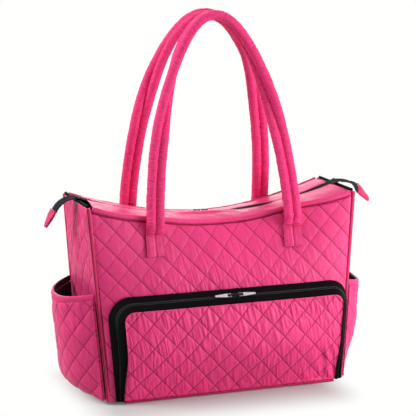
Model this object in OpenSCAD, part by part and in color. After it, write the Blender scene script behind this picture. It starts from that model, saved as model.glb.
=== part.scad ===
// Soft diaper bag: quilted zip-top tote with end pockets, a zipped front pocket and two padded handles.
// Millimetres, +Z up, the front faces -Y, the origin is the middle of the base on the floor.

/* [Body] */
// Width across the top corners
top_w = 410; // [380:1:440]
// Width across the base
base_w = 364; // [340:1:380]
// Height of the top corners
end_h = 284; // [260:1:300]
// Sag of the top edge in the middle
dip = 36; // [20:1:44]
// Depth of the base
base_d = 156; // [140:1:170]
// Depth of the gusset top
top_d = 130; // [120:1:140]
// Depth of the mouth in the middle
mid_d = 80; // [72:1:100]
// Swell of the soft front and back panels
panel_swell = 11; // [4:0.5:14]
// How far the slack ends bulge out above their pockets
gusset_swell = 6; // [0:0.5:10]
// Height where the panels start to lean in
pinch_z = 166; // [160:1:180]
// Thickness of a quilted panel
panel_t = 4; // [3:0.5:5]
// Thickness of the lining
lining_t = 1; // [0.8:0.1:1.5]
// Thickness of the base panel
base_t = 4; // [3:0.5:6]
// Thickness of the base board
board_t = 3; // [2:0.5:4]
// Gap kept between sewn pieces
seam_gap = 0.3; // [0.3:0.05:0.4]
// Radius of the corner piping cord
piping_r = 2.3; // [1.8:0.1:2.4]
// Radius of the top seam binding
binding_r = 2.2; // [1.8:0.1:2.6]
// Radius of the gusset edge binding
edge_r = 1.6; // [1.2:0.1:2]

/* [End pockets] */
// Height of the mouth of an end pocket
side_h = 151; // [130:1:160]
// Sag of the mouth in the middle
side_sag = 9; // [0:1:14]
// How far the left end pocket bulges out
left_bulge = 45; // [30:1:50]
// How far the right end pocket bulges out
right_bulge = 42; // [30:1:50]
// Height over which the floor of the left end pocket rounds out
left_round = 32; // [28:1:100]
// Height over which the floor of the right end pocket rounds out
right_round = 84; // [28:1:100]
// Height of the hem
hem_h = 9; // [7:0.5:12]

/* [Front pocket] */
// Height of the outer edge of the zip band
pocket_h = 156; // [145:1:160]
// Distance of the zip band from the panel edge
pocket_margin = 7; // [6:0.5:12]
// How far the front pocket sits to the right of the middle
pocket_shift = 5; // [0:0.5:5]
// Width of the zip band at the base, as a share of its width at the top
leg_taper = 0.55; // [0.5:0.05:1]
// Corner radius of the zip band
pocket_r = 32; // [28:1:40]
// Width of the zip band seen from the front
band_w = 17; // [14:0.5:20]
// How far the pocket stands proud
band_lift = 22; // [16:0.5:26]
// Extra swell of the pocket front
flap_bulge = 5; // [2:0.5:7]
// Half the gap between the zip tapes
zip_gap = 0.2; // [0.15:0.05:0.3]

/* [Zips] */
// Thickness of a zip tape
tape_t = 0.8; // [0.6:0.1:1]
// Width of one top zip tape
tape_w = 13; // [11:0.5:15]
// Width of one zip coil
coil_w = 2.6; // [2:0.1:3]
// Thickness of a zip coil
coil_t = 1.4; // [1.2:0.1:1.8]
// Height of the top zip over the panel edge
zip_rise = 6.5; // [6:0.25:8]
// Where the two top sliders meet, measured from the middle
top_meet = -14; // [-20:1:0]
// Half length of the closure strips
strip_half = 186; // [180:1:190]
// Thickness of a closure strip
strip_t = 2.5; // [2:0.25:3]
// Length of a slider
slider_l = 12; // [10:0.5:14]
// Length of a pull
pull_l = 26; // [20:1:30]
// Running clearance of a slider
slider_gap = 0.3; // [0.25:0.05:0.4]

/* [Zip tails] */
// Length of a tail beyond the gusset
tail_l = 37; // [32:1:46]
// Droop of the left tail at its end
left_droop = 62; // [45:1:70]
// Droop of the right tail at its end
right_droop = 46; // [30:1:55]
// Length of an end tab
tail_tab_l = 27; // [22:1:30]

/* [Handles] */
// Distance of a handle leg from the middle
handle_x = 106; // [96:1:112]
// Height of the handle pivots
handle_z = 241; // [228:1:244]
// Height of the top of the handle centre line
handle_top = 545; // [500:1:560]
// Distance between handle centres at the top
handle_apart = 31; // [30.5:0.5:40]
// Shape of the front arch, larger is more pointed
front_arch = 1.2; // [1:0.05:1.6]
// Shape of the back arch, larger is more pointed
back_arch = 0.95; // [0.9:0.05:1.5]
// Radius of one of the two handle tubes
tube_r = 7; // [6:0.25:7.5]
// Thickness of the handle cover
cover_t = 1.4; // [1:0.1:2]
// Length of a stitched handle tab
tab_l = 30; // [24:1:34]
// Thickness of a stitched handle tab
tab_t = 2; // [1.6:0.1:2.4]

/* [Hidden] */
$fn = 32;
pink = [0.90, 0.20, 0.50];
rose = [0.93, 0.30, 0.58];
black = [0.08, 0.08, 0.09];
grey = [0.25, 0.25, 0.27];
silver = [0.80, 0.80, 0.82];
board = [0.35, 0.33, 0.32];
white = [0.92, 0.92, 0.90];

slope = (top_w - base_w) / 2 / end_h;
slope_len = sqrt(1 + slope * slope);
edge = panel_t + seam_gap;
panel_z = base_t + seam_gap;
arc_r = (pow(top_w / 2, 2) + dip * dip) / (2 * dip);
arc_z = end_h - dip + arc_r;
zip_r = arc_r - zip_rise;
floor_z = base_t + board_t + 2 * seam_gap;
cols = 20;

// Front pocket: where the zip line of the straight top run lies and how the band is tilted
flap_t = panel_t;
bind_r = flap_t / 2;
zip_d = band_w / 2;
zip_z = pocket_h - zip_d;
band_low = tape_t + seam_gap;
band_rise = (band_lift - band_low) / band_w;
zip_y = -(face_d(0, zip_z) + band_low + band_rise * zip_d);
pocket_tilt = atan2(band_w, band_lift - band_low + face_d(0, pocket_h - band_w) - face_d(0, pocket_h));
foot = (flap_t + seam_gap) / band_lift;
hinge_z = bind_r + 0.4;
hinge_y = -(face_d(0, panel_z) + bind_r + seam_gap);
flap_z = hinge_z + bind_r + seam_gap;
arc_cz = pocket_h - pocket_r;
arc_cx = half_w(arc_cz) - pocket_margin - pocket_r * slope_len;
pocket_meet = slider_l / 2 + 0.6;
pocket_travel = arc_cx - slider_l - pocket_meet;

// Zip sliders and pulls
plate_t = 1;
plate_w = coil_w + slider_gap + 1.5;
top_plate = tape_t / 2 + slider_gap;
low_plate = -(tape_t / 2 + coil_t + slider_gap);
bar_r = 0.9;
bar_n = top_plate + plate_t + 0.4 + bar_r;
crown_n = bar_n + bar_r + 0.5;
crown_w = 1.3;
arm_w = crown_w + 0.6;

// Top slider places on the arc of the top zip
top_half = slider_l / 2 + 0.5;
top_left_a = asin((top_half - top_meet) / zip_r);
top_right_a = asin((-top_half - top_meet) / zip_r);
top_travel_a = asin((strip_half - slider_l) / zip_r) - top_left_a;

// Zip tails
tail_x = top_w / 2 + 2;
tail_z = arc_z - sqrt(zip_r * zip_r - tail_x * tail_x);
tail_t = tape_t + coil_t;

// Handles
cord_r = tube_r - cover_t - seam_gap;
tube_mid = tube_r - 0.5;
leg_y = -(face_d(handle_x + 2 * tube_r, handle_z) + tube_r + 0.5);
apex_y = -handle_apart / 2;

function ease(t) = t <= 0 ? 0 : t >= 1 ? 1 : t * t * (3 - 2 * t);
function lerp(a, b, t) = a + (b - a) * t;
function unit(v) = v / norm(v);
function turned(list) = [for (i = [len(list) - 1:-1:0]) list[i]];

// Outside of the body: half width and half depth at a height, the top edge, the lean of the panels
function half_w(z) = base_w / 2 + slope * z;
function half_d(z) = base_d / 2 + (top_d - base_d) / 2 * z / end_h;
function top_z(x) = arc_z - sqrt(arc_r * arc_r - x * x);
function pinch(x) = (top_d - mid_d) / 2 * (0.5 + 0.5 * cos(180 * x / (top_w / 2)));
function lean(x, z) = z <= pinch_z ? 0 : pow((z - pinch_z) / (top_z(x) - pinch_z), 1.4);
function swell(x, z) =
  panel_swell * (1 - pow(min(1, abs(x) / half_w(z)), 8)) * sin(180 * min(1, z / (end_h - dip)));
function face_d(x, z) = half_d(z) + swell(x, z) - pinch(x) * lean(x, z);

// Grids: rows run up and columns run right as seen from outside
function grid_faces(m, n, w, base, inward) = [
  for (i = [0:m - 2])
    for (j = [0:w ? n - 1 : n - 2])
      let (k = (j + 1) % n, a = base + i * n + j, b = base + i * n + k, c = b + n, d = a + n)
        each inward ? [[a, b, c], [a, c, d]] : [[a, d, c], [a, c, b]]
];
function row_wall(n, w, a0, b0, top) = [
  for (j = [0:w ? n - 1 : n - 2])
    let (k = (j + 1) % n)
      each top ? [[a0 + k, a0 + j, b0 + j], [a0 + k, b0 + j, b0 + k]]
               : [[a0 + j, a0 + k, b0 + k], [a0 + j, b0 + k, b0 + j]]
];
function col_wall(m, n, j, base, right) = [
  for (i = [0:m - 2])
    let (a = i * n + j, d = a + n, p = base + a, q = base + d)
      each right ? [[a, d, q], [a, q, p]] : [[d, a, p], [d, p, q]]
];

// Sheet of cloth between two grids of points; a wrapped sheet is a pipe
module sheet(outside, inside, wrap = false) {
  m = len(outside);
  n = len(outside[0]);
  base = m * n;
  points = concat([for (r = outside) each r], [for (r = inside) each r]);
  faces = concat(
    grid_faces(m, n, wrap, 0, false),
    grid_faces(m, n, wrap, base, true),
    row_wall(n, wrap, 0, base, false),
    row_wall(n, wrap, (m - 1) * n, base + (m - 1) * n, true),
    wrap ? [] : col_wall(m, n, 0, base, false),
    wrap ? [] : col_wall(m, n, n - 1, base, true));
  polyhedron(points, faces, convexity = 8);
}

// Solid through a list of rings, each turning left round the direction of travel
function middle(ring) = [for (p = ring) 1] * ring / len(ring);
module sweep(rings) {
  m = len(rings);
  n = len(rings[0]);
  points = concat([for (r = rings) each r], [middle(rings[0]), middle(rings[m - 1])]);
  start = [for (j = [0:n - 1]) [m * n, j, (j + 1) % n]];
  end = [for (j = [0:n - 1]) [m * n + 1, (m - 1) * n + (j + 1) % n, (m - 1) * n + j]];
  polyhedron(points, concat(grid_faces(m, n, true, 0, false), start, end), convexity = 8);
}

// Round rod between two points
module rod(a, b, r) {
  d = b - a;
  translate(a)
    rotate([0, acos(d.z / norm(d)), atan2(d.y, d.x)])
      cylinder(r = r, h = norm(d));
}

module rounded_plate(w, d, r, t) {
  linear_extrude(t) {
    square([w - 2 * r, d], center = true);
    square([w, d - 2 * r], center = true);
    for (i = [-1, 1])
      for (j = [-1, 1])
        translate([i * (w / 2 - r), j * (d / 2 - r)])
          circle(r);
  }
}

// Front panel: swelling below, leaning in towards the mouth above
panel_rows = concat([for (i = [0:4]) [0, i / 4]], [for (i = [1:5]) [1, i / 5]]);
function panel_pt(u, row, depth) =
  let (zt = top_z(u * (half_w(end_h) - edge)),
       z = row[0] == 0 ? lerp(panel_z, pinch_z, row[1]) : lerp(pinch_z, zt, row[1]),
       x = u * (half_w(z) - edge))
    [x, depth - face_d(x, z), z];
function panel_grid(depth) = [
  for (row = panel_rows) [for (j = [0:cols]) panel_pt(2 * j / cols - 1, row, depth)]
];

module panel() {
  sheet(panel_grid(0), panel_grid(panel_t));
}

module front_panel() {
  color(pink) panel();
}

module back_panel() {
  color(pink) mirror([0, 1, 0]) panel();
}

// Gussets: slanting ends between the two panels, slack and bulging above the end pockets
function slack(y_part, z) =
  gusset_swell * (1 - y_part * y_part) * sin(180 * min(1, max(0, (z - side_h) / (end_h - side_h))));
function gusset_pt(y_part, z, depth) =
  [depth - half_w(z) - slack(y_part, z), y_part * (half_d(z) - edge), z];
module gusset() {
  rows = concat([panel_z], [for (i = [0:6]) lerp(min(side_h, end_h - 1), end_h, i / 6)]);
  grid = function (depth) [
    for (z = rows) [for (j = [0:6]) gusset_pt(1 - j / 3, z, depth)]
  ];
  sheet(grid(0), grid(panel_t));
}

module left_gusset() {
  color(pink) gusset();
}

module right_gusset() {
  color(pink) mirror([1, 0, 0]) gusset();
}

// Base: outer cloth panel and the board that stiffens it
module base_panel() {
  color(pink) rounded_plate(base_w, base_d, 5, base_t);
}

module base_board() {
  color(board)
    translate([0, 0, base_t + seam_gap])
      rounded_plate(base_w - 2 * edge - 2, base_d - 2 * edge - 2, 8, board_t);
}

// Lining: an open cup hung inside the panels
function cup_ring(inset, low, row) = let (
  at = function (x_part, y_part)
    let (zt = top_z(x_part * (half_w(end_h) - inset)) - 1.5,
         z = row[0] == 0 ? lerp(low, pinch_z, row[1]) : lerp(pinch_z, zt, row[1]),
         x = x_part * (half_w(z) - inset))
      [x, y_part * (face_d(x, z) - inset), z])
  concat([for (j = [0:cols - 1]) at(2 * j / cols - 1, -1)],
         [for (j = [0:3]) at(1, j / 2 - 1)],
         [for (j = [0:cols - 1]) at(1 - 2 * j / cols, 1)],
         [for (j = [0:3]) at(-1, 1 - j / 2)]);
module lining() {
  inset = edge + 0.9;
  outside = [for (row = panel_rows) cup_ring(inset, floor_z, row)];
  inside = [for (row = panel_rows) cup_ring(inset + lining_t, floor_z + lining_t, row)];
  color(black) sweep(concat(outside, turned(inside)));
}

// Corner piping: straight cords set into the four upright corners
module piping() {
  in = edge - piping_r - seam_gap;
  rod([in - half_w(panel_z), in - half_d(panel_z), panel_z],
      [in - half_w(end_h), in - half_d(end_h), end_h], piping_r);
}

module front_left_piping() {
  color(rose) piping();
}

module front_right_piping() {
  color(rose) mirror([1, 0, 0]) piping();
}

module back_left_piping() {
  color(rose) mirror([0, 1, 0]) piping();
}

module back_right_piping() {
  color(rose) mirror([1, 0, 0]) mirror([0, 1, 0]) piping();
}

// Top bindings: a cord along the curved top edge of each panel, a straight one on each gusset
function top_line(u) = let (x = u * (half_w(end_h) - edge), z = top_z(x))
  [x, panel_t / 2 - face_d(x, z), z + binding_r + seam_gap + 0.2];
function top_ring(u) = let (
  t = unit(top_line(u + 0.01) - top_line(u - 0.01)),
  a = unit(cross([0, 0, 1], t)),
  b = cross(t, a))
  [for (k = [0:7]) top_line(u) + binding_r * (cos(45 * k) * a + sin(45 * k) * b)];
module top_binding() {
  sweep([for (j = [0:cols]) top_ring((2 * j / cols - 1) * 0.985)]);
}

module front_top_binding() {
  color(pink) top_binding();
}

module back_top_binding() {
  color(pink) mirror([0, 1, 0]) top_binding();
}

module gusset_binding() {
  y = half_d(end_h) - edge - 2;
  x = panel_t / 2 - half_w(end_h);
  rod([x, -y, end_h + edge_r + seam_gap], [x, y, end_h + edge_r + seam_gap], edge_r);
}

module left_gusset_binding() {
  color(black) gusset_binding();
}

module right_gusset_binding() {
  color(black) mirror([1, 0, 0]) gusset_binding();
}

// End pockets: pouches that bulge out of the gussets, with a lining, a hem and its elastic
side_low = panel_z;
side_t = panel_t + lining_t + 0.6;
left_fill = [left_bulge, left_round];
right_fill = [right_bulge, right_round];
function side_out(fill, z, depth) =
  let (t = min(1, max(0, (z - side_low - depth) / fill[1])))
    (fill[0] - depth) * sqrt(1 - pow(1 - t, 2));
function side_pt(fill, u, v, depth) = let (
  z = lerp(side_low + depth, side_h - side_sag * (1 - u * u), v),
  room = 1 - pow(abs(u), 2.6),
  out = seam_gap + side_out(fill, z, depth) * room + (side_t - depth) * (1 - room))
  [-half_w(z) - out, -u * (half_d(z) - 6), z];
side_u = [-1, -0.93, -0.84, -0.7, -0.5, -0.25, 0, 0.25, 0.5, 0.7, 0.84, 0.93, 1];
side_v = [0, 0.03, 0.08, 0.15, 0.25, 0.38, 0.6, 1];
function side_grid(fill, depth) = [
  for (v = side_v) [for (u = side_u) side_pt(fill, u, v, depth)]
];
module end_pocket(fill) {
  sheet(side_grid(fill, 0), side_grid(fill, panel_t - 0.6));
}

module end_pocket_lining(fill) {
  low = panel_t - 0.6 + seam_gap;
  sheet(side_grid(fill, low), side_grid(fill, low + 0.7));
}

function hem_box(fill, u, in, low, high) = let (
  a = side_pt(fill, u, 1, in),
  b = side_pt(fill, u, 1, panel_t + 0.6 - in),
  z0 = [0, 0, seam_gap + low],
  z1 = [0, 0, seam_gap + high])
  [a + z0, b + z0, b + z1, a + z1];
module hem(fill) {
  sheet([for (u = side_u) hem_box(fill, u, 0, 0, hem_h)],
        [for (u = side_u) hem_box(fill, u, 0.9, 0.9, hem_h - 0.9)], wrap = true);
}

module elastic(fill) {
  sweep([for (u = side_u) hem_box(fill, u, 1.4, 1.4, hem_h - 1.4)]);
}

module left_end_pocket() {
  color(pink) end_pocket(left_fill);
}

module right_end_pocket() {
  color(pink) mirror([1, 0, 0]) end_pocket(right_fill);
}

module left_pocket_lining() {
  color(black) end_pocket_lining(left_fill);
}

module right_pocket_lining() {
  color(black) mirror([1, 0, 0]) end_pocket_lining(right_fill);
}

module left_pocket_hem() {
  color(rose) hem(left_fill);
}

module right_pocket_hem() {
  color(rose) mirror([1, 0, 0]) hem(right_fill);
}

module left_pocket_elastic() {
  color(white) elastic(left_fill);
}

module right_pocket_elastic() {
  color(white) mirror([1, 0, 0]) elastic(right_fill);
}

// Front pocket zip band: an upside-down U, inset by d, standing l proud of the front panel
function lift_at(z) = foot + (1 - foot) * ease((z - flap_z) / 75);
function inset(d, z) = d * slope_len * lerp(leg_taper, 1, ease((z - flap_z) / (0.55 * pocket_h)));
function half_u(d) = let (
  a0 = -atan(slope),
  r = pocket_r - d,
  z_leg = arc_cz + r * sin(a0),
  leg = function (z) [half_w(z) - pocket_margin - inset(d, z), z])
  concat([for (t = [0, 0.25, 0.5, 0.75]) leg(lerp(flap_z, z_leg, t))],
         [for (k = [0:6]) let (a = lerp(a0, 90, k / 6)) [arc_cx + r * cos(a), arc_cz + r * sin(a)]],
         [for (x = [slider_l, slider_l / 2]) [x, pocket_h - d]]);
function u_path(d) = let (h = half_u(d))
  concat([for (p = h) [-p.x, p.y]], [[0, pocket_h - d]], turned(h));
function parted(d, side, i) = let (x = u_path(d)[i].x)
  abs(x) < slider_l ? side * 0.75 * (1 - pow(x / slider_l, 2)) : 0;
function band_pt(d, i, off) = let (
  k = band_rise * lift_at(u_path(d)[i].y),
  q = sqrt(1 + k * k),
  p = u_path(d - off * k / q)[i],
  x = p.x + pocket_shift)
  [x, -(face_d(x, p.y) + band_low + k * d + off / q), p.y];
module band_strip(d1, d2, e1, e2, high, low) {
  grid = function (off) [
    for (i = [0:len(u_path(0)) - 1])
      [band_pt(d1 + parted(d1, e1, i), i, off), band_pt(d2 + parted(d2, e2, i), i, off)]
  ];
  sheet(grid(high), grid(low));
}
coil_high = -tape_t / 2 - 0.45;
coil_low = -tape_t / 2 - coil_t;

module pocket_zip_outer_tape() {
  color(black) band_strip(0, zip_d - zip_gap, 0, -1, tape_t / 2, -tape_t / 2);
}

module pocket_zip_outer_coil() {
  d2 = zip_d - zip_gap;
  color(grey) band_strip(d2 - coil_w * 0.45, d2, -1, -1, coil_high, coil_low);
}

module pocket_zip_inner_tape() {
  color(black) band_strip(zip_d + zip_gap, band_w - 3 * seam_gap, 1, 0, tape_t / 2, -tape_t / 2);
}

module pocket_zip_inner_coil() {
  d1 = zip_d + zip_gap;
  color(grey) band_strip(d1, d1 + coil_w * 0.45, 1, 1, coil_high, coil_low);
}

// Front pocket flap: the quilted front inside the zip band, turning on its bottom binding
flap_u = [-1, -0.985, -0.955, -0.92, -0.8, -0.6, -0.3, 0, 0.3, 0.6, 0.8, 0.92, 0.955, 0.985, 1];
flap_v = [0, 0.15, 0.3, 0.45, 0.6, 0.8, 1];
function flap_half(z, d) = half_w(z) - pocket_margin - inset(d, z);
function flap_top(u, d) = let (
  x = abs(u) * flap_half(pocket_h - d, d),
  r = pocket_r - d,
  c = min(1, max(0, x - arc_cx) / (flap_half(pocket_h - d, d) - arc_cx)))
  arc_cz + r * sqrt(1 - c * c);
function flap_pt(u, v, d, depth) = let (
  z = lerp(flap_z, flap_top(u, d), v),
  x = pocket_shift + u * flap_half(z, d),
  puff = flap_bulge * (1 - u * u) * sin(180 * v))
  [x, depth - (face_d(x, z) + band_lift * lift_at(z) + puff), z];
function flap_grid(d, depth) = [for (v = flap_v) [for (u = flap_u) flap_pt(u, v, d, depth)]];

module pocket_flap() {
  color(pink) sheet(flap_grid(band_w, 0), flap_grid(band_w, flap_t - 1.2));
}

module pocket_flap_lining() {
  d = flap_t - 0.7;
  color(black) sheet(flap_grid(band_w + 2, d), flap_grid(band_w + 2, d + 0.6));
}

module pocket_bottom_binding() {
  x = flap_half(flap_z, band_w) - 1;
  color(pink)
    rod([pocket_shift - x, hinge_y, hinge_z], [pocket_shift + x, hinge_y, hinge_z], bind_r);
}

// Zip slider, nose towards +X, lying on the zip; the pull turns on a bar under the crown
module slider() {
  h = slider_l / 2;
  plan = [[-h, -plate_w + 1.2], [-h + 1, -plate_w + 0.5], [0, -plate_w + 0.4], [h - 3, -plate_w],
          [h - 1, -plate_w + 0.8], [h, -plate_w + 2.2], [h, plate_w - 2.2], [h - 1, plate_w - 0.8],
          [h - 3, plate_w], [0, plate_w - 0.4], [-h + 1, plate_w - 0.5], [-h, plate_w - 1.2]];
  translate([0, 0, top_plate])
    linear_extrude(plate_t)
      polygon(plan);
  translate([0, 0, low_plate - plate_t])
    linear_extrude(plate_t)
      polygon(plan);
  for (i = [-1, 1])
    translate([3 - h, i * (plate_w - 0.55) - 0.4, low_plate - 0.2])
      cube([slider_l - 6, 0.8, coil_t * 0.7]);
  translate([0, 0, low_plate - 0.2])
    linear_extrude(top_plate - low_plate + 0.4)
      polygon([[h - 4.4, 0], [h - 3, -0.8], [h - 1, 0], [h - 3, 0.8]]);
  for (s = [-1, 1])
    translate([s * 3.9 - 0.7, -crown_w, top_plate + plate_t - 0.2])
      cube([1.4, 2 * crown_w, crown_n - top_plate - plate_t + 0.4]);
  translate([-4.6, -crown_w, crown_n])
    cube([9.2, 2 * crown_w, 1.1]);
}

module pull() {
  translate([0, 0, bar_n])
    rotate([90, 0, 0])
      cylinder(r = bar_r, h = 2 * arm_w + 2.4, center = true);
  translate([0, 0, bar_n - 0.7])
    linear_extrude(1.4)
      difference() {
        union() {
          polygon([[0, -arm_w - 1.2], [0, arm_w + 1.2], [-8, arm_w + 1.2], [3 - pull_l, 1.7],
                   [3 - pull_l, -1.7], [-8, -arm_w - 1.2]]);
          translate([3 - pull_l, 0])
            circle(1.7);
        }
        translate([-5.6, -arm_w])
          square([8, 2 * arm_w]);
      }
}

module on_pocket_zip(side) {
  translate([pocket_shift + side * pocket_meet, zip_y, zip_z])
    rotate([pocket_tilt, 0, 0])
      mirror([side > 0 ? 1 : 0, 0, 0])
        children();
}

module on_top_zip(angle, side) {
  translate([0, 0, arc_z])
    rotate([0, angle, 0])
      translate([0, 0, -zip_r])
        mirror([side > 0 ? 1 : 0, 0, 0])
          children();
}

module pocket_slider_left() {
  color(black) on_pocket_zip(-1) slider();
}

module pocket_slider_right() {
  color(black) on_pocket_zip(1) slider();
}

module pocket_pull_left() {
  color(silver) on_pocket_zip(-1) pull();
}

module pocket_pull_right() {
  color(silver) on_pocket_zip(1) pull();
}

module top_slider_left() {
  color(black) on_top_zip(top_left_a, -1) slider();
}

module top_slider_right() {
  color(black) on_top_zip(top_right_a, 1) slider();
}

module top_pull_left() {
  color(grey) on_top_zip(top_left_a, -1) pull();
}

module top_pull_right() {
  color(grey) on_top_zip(top_right_a, 1) pull();
}

// Top closure: two cloth strips from the seams to the zip, tapes and coils running along the dip
strip_x = [for (j = [0:cols]) 2 * j / cols - 1];
function strip_pt(u, t, depth) = let (
  x = u * lerp(strip_half, strip_half + 6, t),
  zs = top_z(x),
  ys = panel_t / 2 + binding_r + seam_gap - face_d(x, zs),
  zz = arc_z - sqrt(zip_r * zip_r - x * x) + tape_t / 2)
  [x, lerp(ys, -tape_w - seam_gap, t), lerp(zs + binding_r + 1.5, zz, t) + 1.5 * sin(180 * t) - depth];
function strip_grid(depth) = [for (t = [0, 0.33, 0.67, 1]) [for (u = strip_x) strip_pt(u, t, depth)]];
module strip() {
  sheet(strip_grid(0), strip_grid(strip_t));
}

module front_closure_strip() {
  color(pink) strip();
}

module back_closure_strip() {
  color(pink) mirror([0, 1, 0]) strip();
}

// Ring segment along the top zip, from y0 to y1, between two heights over the zip line
module along_zip(x_end, y0, y1, low, high) {
  a = asin(x_end / zip_r);
  translate([0, 0, arc_z])
    rotate([90, 0, 0])
      rotate([0, 0, -90 - a])
        rotate_extrude(angle = 2 * a, $fn = 360)
          translate([zip_r - high, -y1])
            square([high - low, y1 - y0]);
}

// Eye where the chain is parted between the two sliders
module eye() {
  translate([top_meet, 0, end_h - dip + zip_rise - 10])
    linear_extrude(20)
      square([2 * slider_l - 2, 2.4], center = true);
}

module zip_tape() {
  difference() {
    along_zip(tail_x - 1, -tape_w, -zip_gap, -tape_t / 2, tape_t / 2);
    eye();
  }
}

module zip_coil() {
  difference() {
    along_zip(tail_x - 1, -coil_w, -zip_gap, -tape_t / 2 - coil_t, -tape_t / 2 - 0.1);
    eye();
  }
}

module top_zip_front_tape() {
  color(black) zip_tape();
}

module top_zip_back_tape() {
  color(black) mirror([0, 1, 0]) zip_tape();
}

module top_zip_front_coil() {
  color(grey) zip_coil();
}

module top_zip_back_coil() {
  color(grey) mirror([0, 1, 0]) zip_coil();
}

// Zip tails: the zip runs on over the gusset, curls down and ends in a folded tab
function tail_at(s, droop) = let (
  rate = droop / tail_l,
  a = min(s, tail_l) * rate,
  r = 180 / PI / rate,
  rest = max(0, s - tail_l))
  [-tail_x - r * sin(a) - rest * cos(a), 0, tail_z - r * (1 - cos(a)) - rest * sin(a)];
function tail_ring(s, droop, w, low, high) = let (
  a = min(s, tail_l) * droop / tail_l,
  p = tail_at(s, droop),
  n = [-sin(a), 0, cos(a)],
  y = [0, w, 0])
  [p - y + low * n, p - y + high * n, p + y + high * n, p + y + low * n];
module tail(droop) {
  sweep([
    for (i = [0:9])
      tail_ring(i / 9 * (tail_l + tail_tab_l - 6), droop, tape_w - 0.5, tape_t / 2 - tail_t, tape_t / 2)
  ]);
}

module tail_tab(droop) {
  grid = function (w, low, high) [
    for (i = [0:3]) tail_ring(tail_l + 0.5 + i / 3 * tail_tab_l, droop, w, low, high)
  ];
  low = tape_t / 2 - tail_t;
  high = tape_t / 2;
  sheet(grid(tape_w + 1, low - 1.5, high + 1.5), grid(tape_w - 0.2, low - 0.3, high + 0.3), wrap = true);
}

module left_zip_tail() {
  color(black) tail(left_droop);
}

module right_zip_tail() {
  color(black) mirror([1, 0, 0]) tail(right_droop);
}

module left_tail_tab() {
  color(rose) tail_tab(left_droop);
}

module right_tail_tab() {
  color(rose) mirror([1, 0, 0]) tail_tab(right_droop);
}

// Handles: two tubes side by side on an arch, turned a quarter so that the strap lies flat on top
arch_n = 24;
function arch_at(a, bow) = let (t = pow(abs(sin(a)), bow))
  [-handle_x * cos(a), lerp(leg_y, apex_y, t), lerp(handle_z, handle_top, t)];
function arch_dir(a, bow) = unit(arch_at(min(a + 1, 180), bow) - arch_at(max(a - 1, 0), bow));
function arch_side(a, bow) = let (
  d = arch_dir(a, bow),
  b = unit([0, handle_top - handle_z, leg_y - apex_y]),
  n = cross(b, d),
  turn = 90 * ease((abs(sin(a)) - 0.4) / 0.52))
  unit(cos(turn) * n + sin(turn) * b);
function arch_ring(a, bow, side, r, near) = let (
  p = arch_at(a, bow),
  w = arch_side(a, bow) * side,
  q = cross(arch_dir(a, bow), w))
  [for (k = [0:7]) p + max(near, tube_mid + r * cos(45 * k)) * w + r * sin(45 * k) * q];
arch_list = [for (i = [0:arch_n]) lerp(0.01, 179.99, i / arch_n)];

module handle_cover(bow) {
  for (side = [-1, 1])
    sheet([for (a = arch_list) arch_ring(a, bow, side, tube_r, 0.05)],
          [for (a = arch_list) arch_ring(a, bow, side, tube_r - cover_t, cover_t * 0.8)], wrap = true);
}

module handle_cords(bow) {
  for (side = [-1, 1])
    sweep([for (a = arch_list) arch_ring(a, bow, side, cord_r, cover_t * 0.8)]);
}

module front_handle_cover() {
  color(rose) handle_cover(front_arch);
}

module front_handle_cords() {
  color(white) handle_cords(front_arch);
}

module back_handle_cover() {
  color(rose) mirror([0, 1, 0]) handle_cover(back_arch);
}

module back_handle_cords() {
  color(white) mirror([0, 1, 0]) handle_cords(back_arch);
}

// Handle tabs: the flat stitched ends of the handles, lying on the panel
tab_z = handle_z - tab_l / 2 - 1.2;
tab_lean = atan((face_d(handle_x, tab_z - tab_l / 2) - face_d(handle_x, tab_z + tab_l / 2)) / tab_l);
tab_yaw = atan((face_d(handle_x + 8, tab_z) - face_d(handle_x - 8, tab_z)) / 16);
module handle_tab() {
  translate([-handle_x, -face_d(handle_x, tab_z) - 0.6, tab_z])
    rotate([0, 0, tab_yaw])
      rotate([90 - tab_lean, 0, 0])
        rounded_plate(4 * tube_r, tab_l - 1, 3, tab_t);
}

module front_left_handle_tab() {
  color(rose) handle_tab();
}

module front_right_handle_tab() {
  color(rose) mirror([1, 0, 0]) handle_tab();
}

module back_left_handle_tab() {
  color(rose) mirror([0, 1, 0]) handle_tab();
}

module back_right_handle_tab() {
  color(rose) mirror([1, 0, 0]) mirror([0, 1, 0]) handle_tab();
}

// Node to draw

front_panel();
back_panel();
left_gusset();
right_gusset();
base_panel();
base_board();
lining();
front_left_piping();
front_right_piping();
back_left_piping();
back_right_piping();
front_top_binding();
back_top_binding();
left_gusset_binding();
right_gusset_binding();
left_end_pocket();
right_end_pocket();
left_pocket_lining();
right_pocket_lining();
left_pocket_hem();
right_pocket_hem();
left_pocket_elastic();
right_pocket_elastic();
pocket_zip_outer_tape();
pocket_zip_outer_coil();
pocket_bottom_binding();
pocket_flap();
pocket_flap_lining();
pocket_zip_inner_tape();
pocket_zip_inner_coil();
pocket_slider_left();
pocket_slider_right();
pocket_pull_left();
pocket_pull_right();
front_closure_strip();
back_closure_strip();
top_zip_front_tape();
top_zip_back_tape();
top_zip_front_coil();
top_zip_back_coil();
top_slider_left();
top_slider_right();
top_pull_left();
top_pull_right();
left_zip_tail();
right_zip_tail();
left_tail_tab();
right_tail_tab();
front_handle_cover();
front_handle_cords();
back_handle_cover();
back_handle_cords();
front_left_handle_tab();
front_right_handle_tab();
back_left_handle_tab();
back_right_handle_tab();
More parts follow.
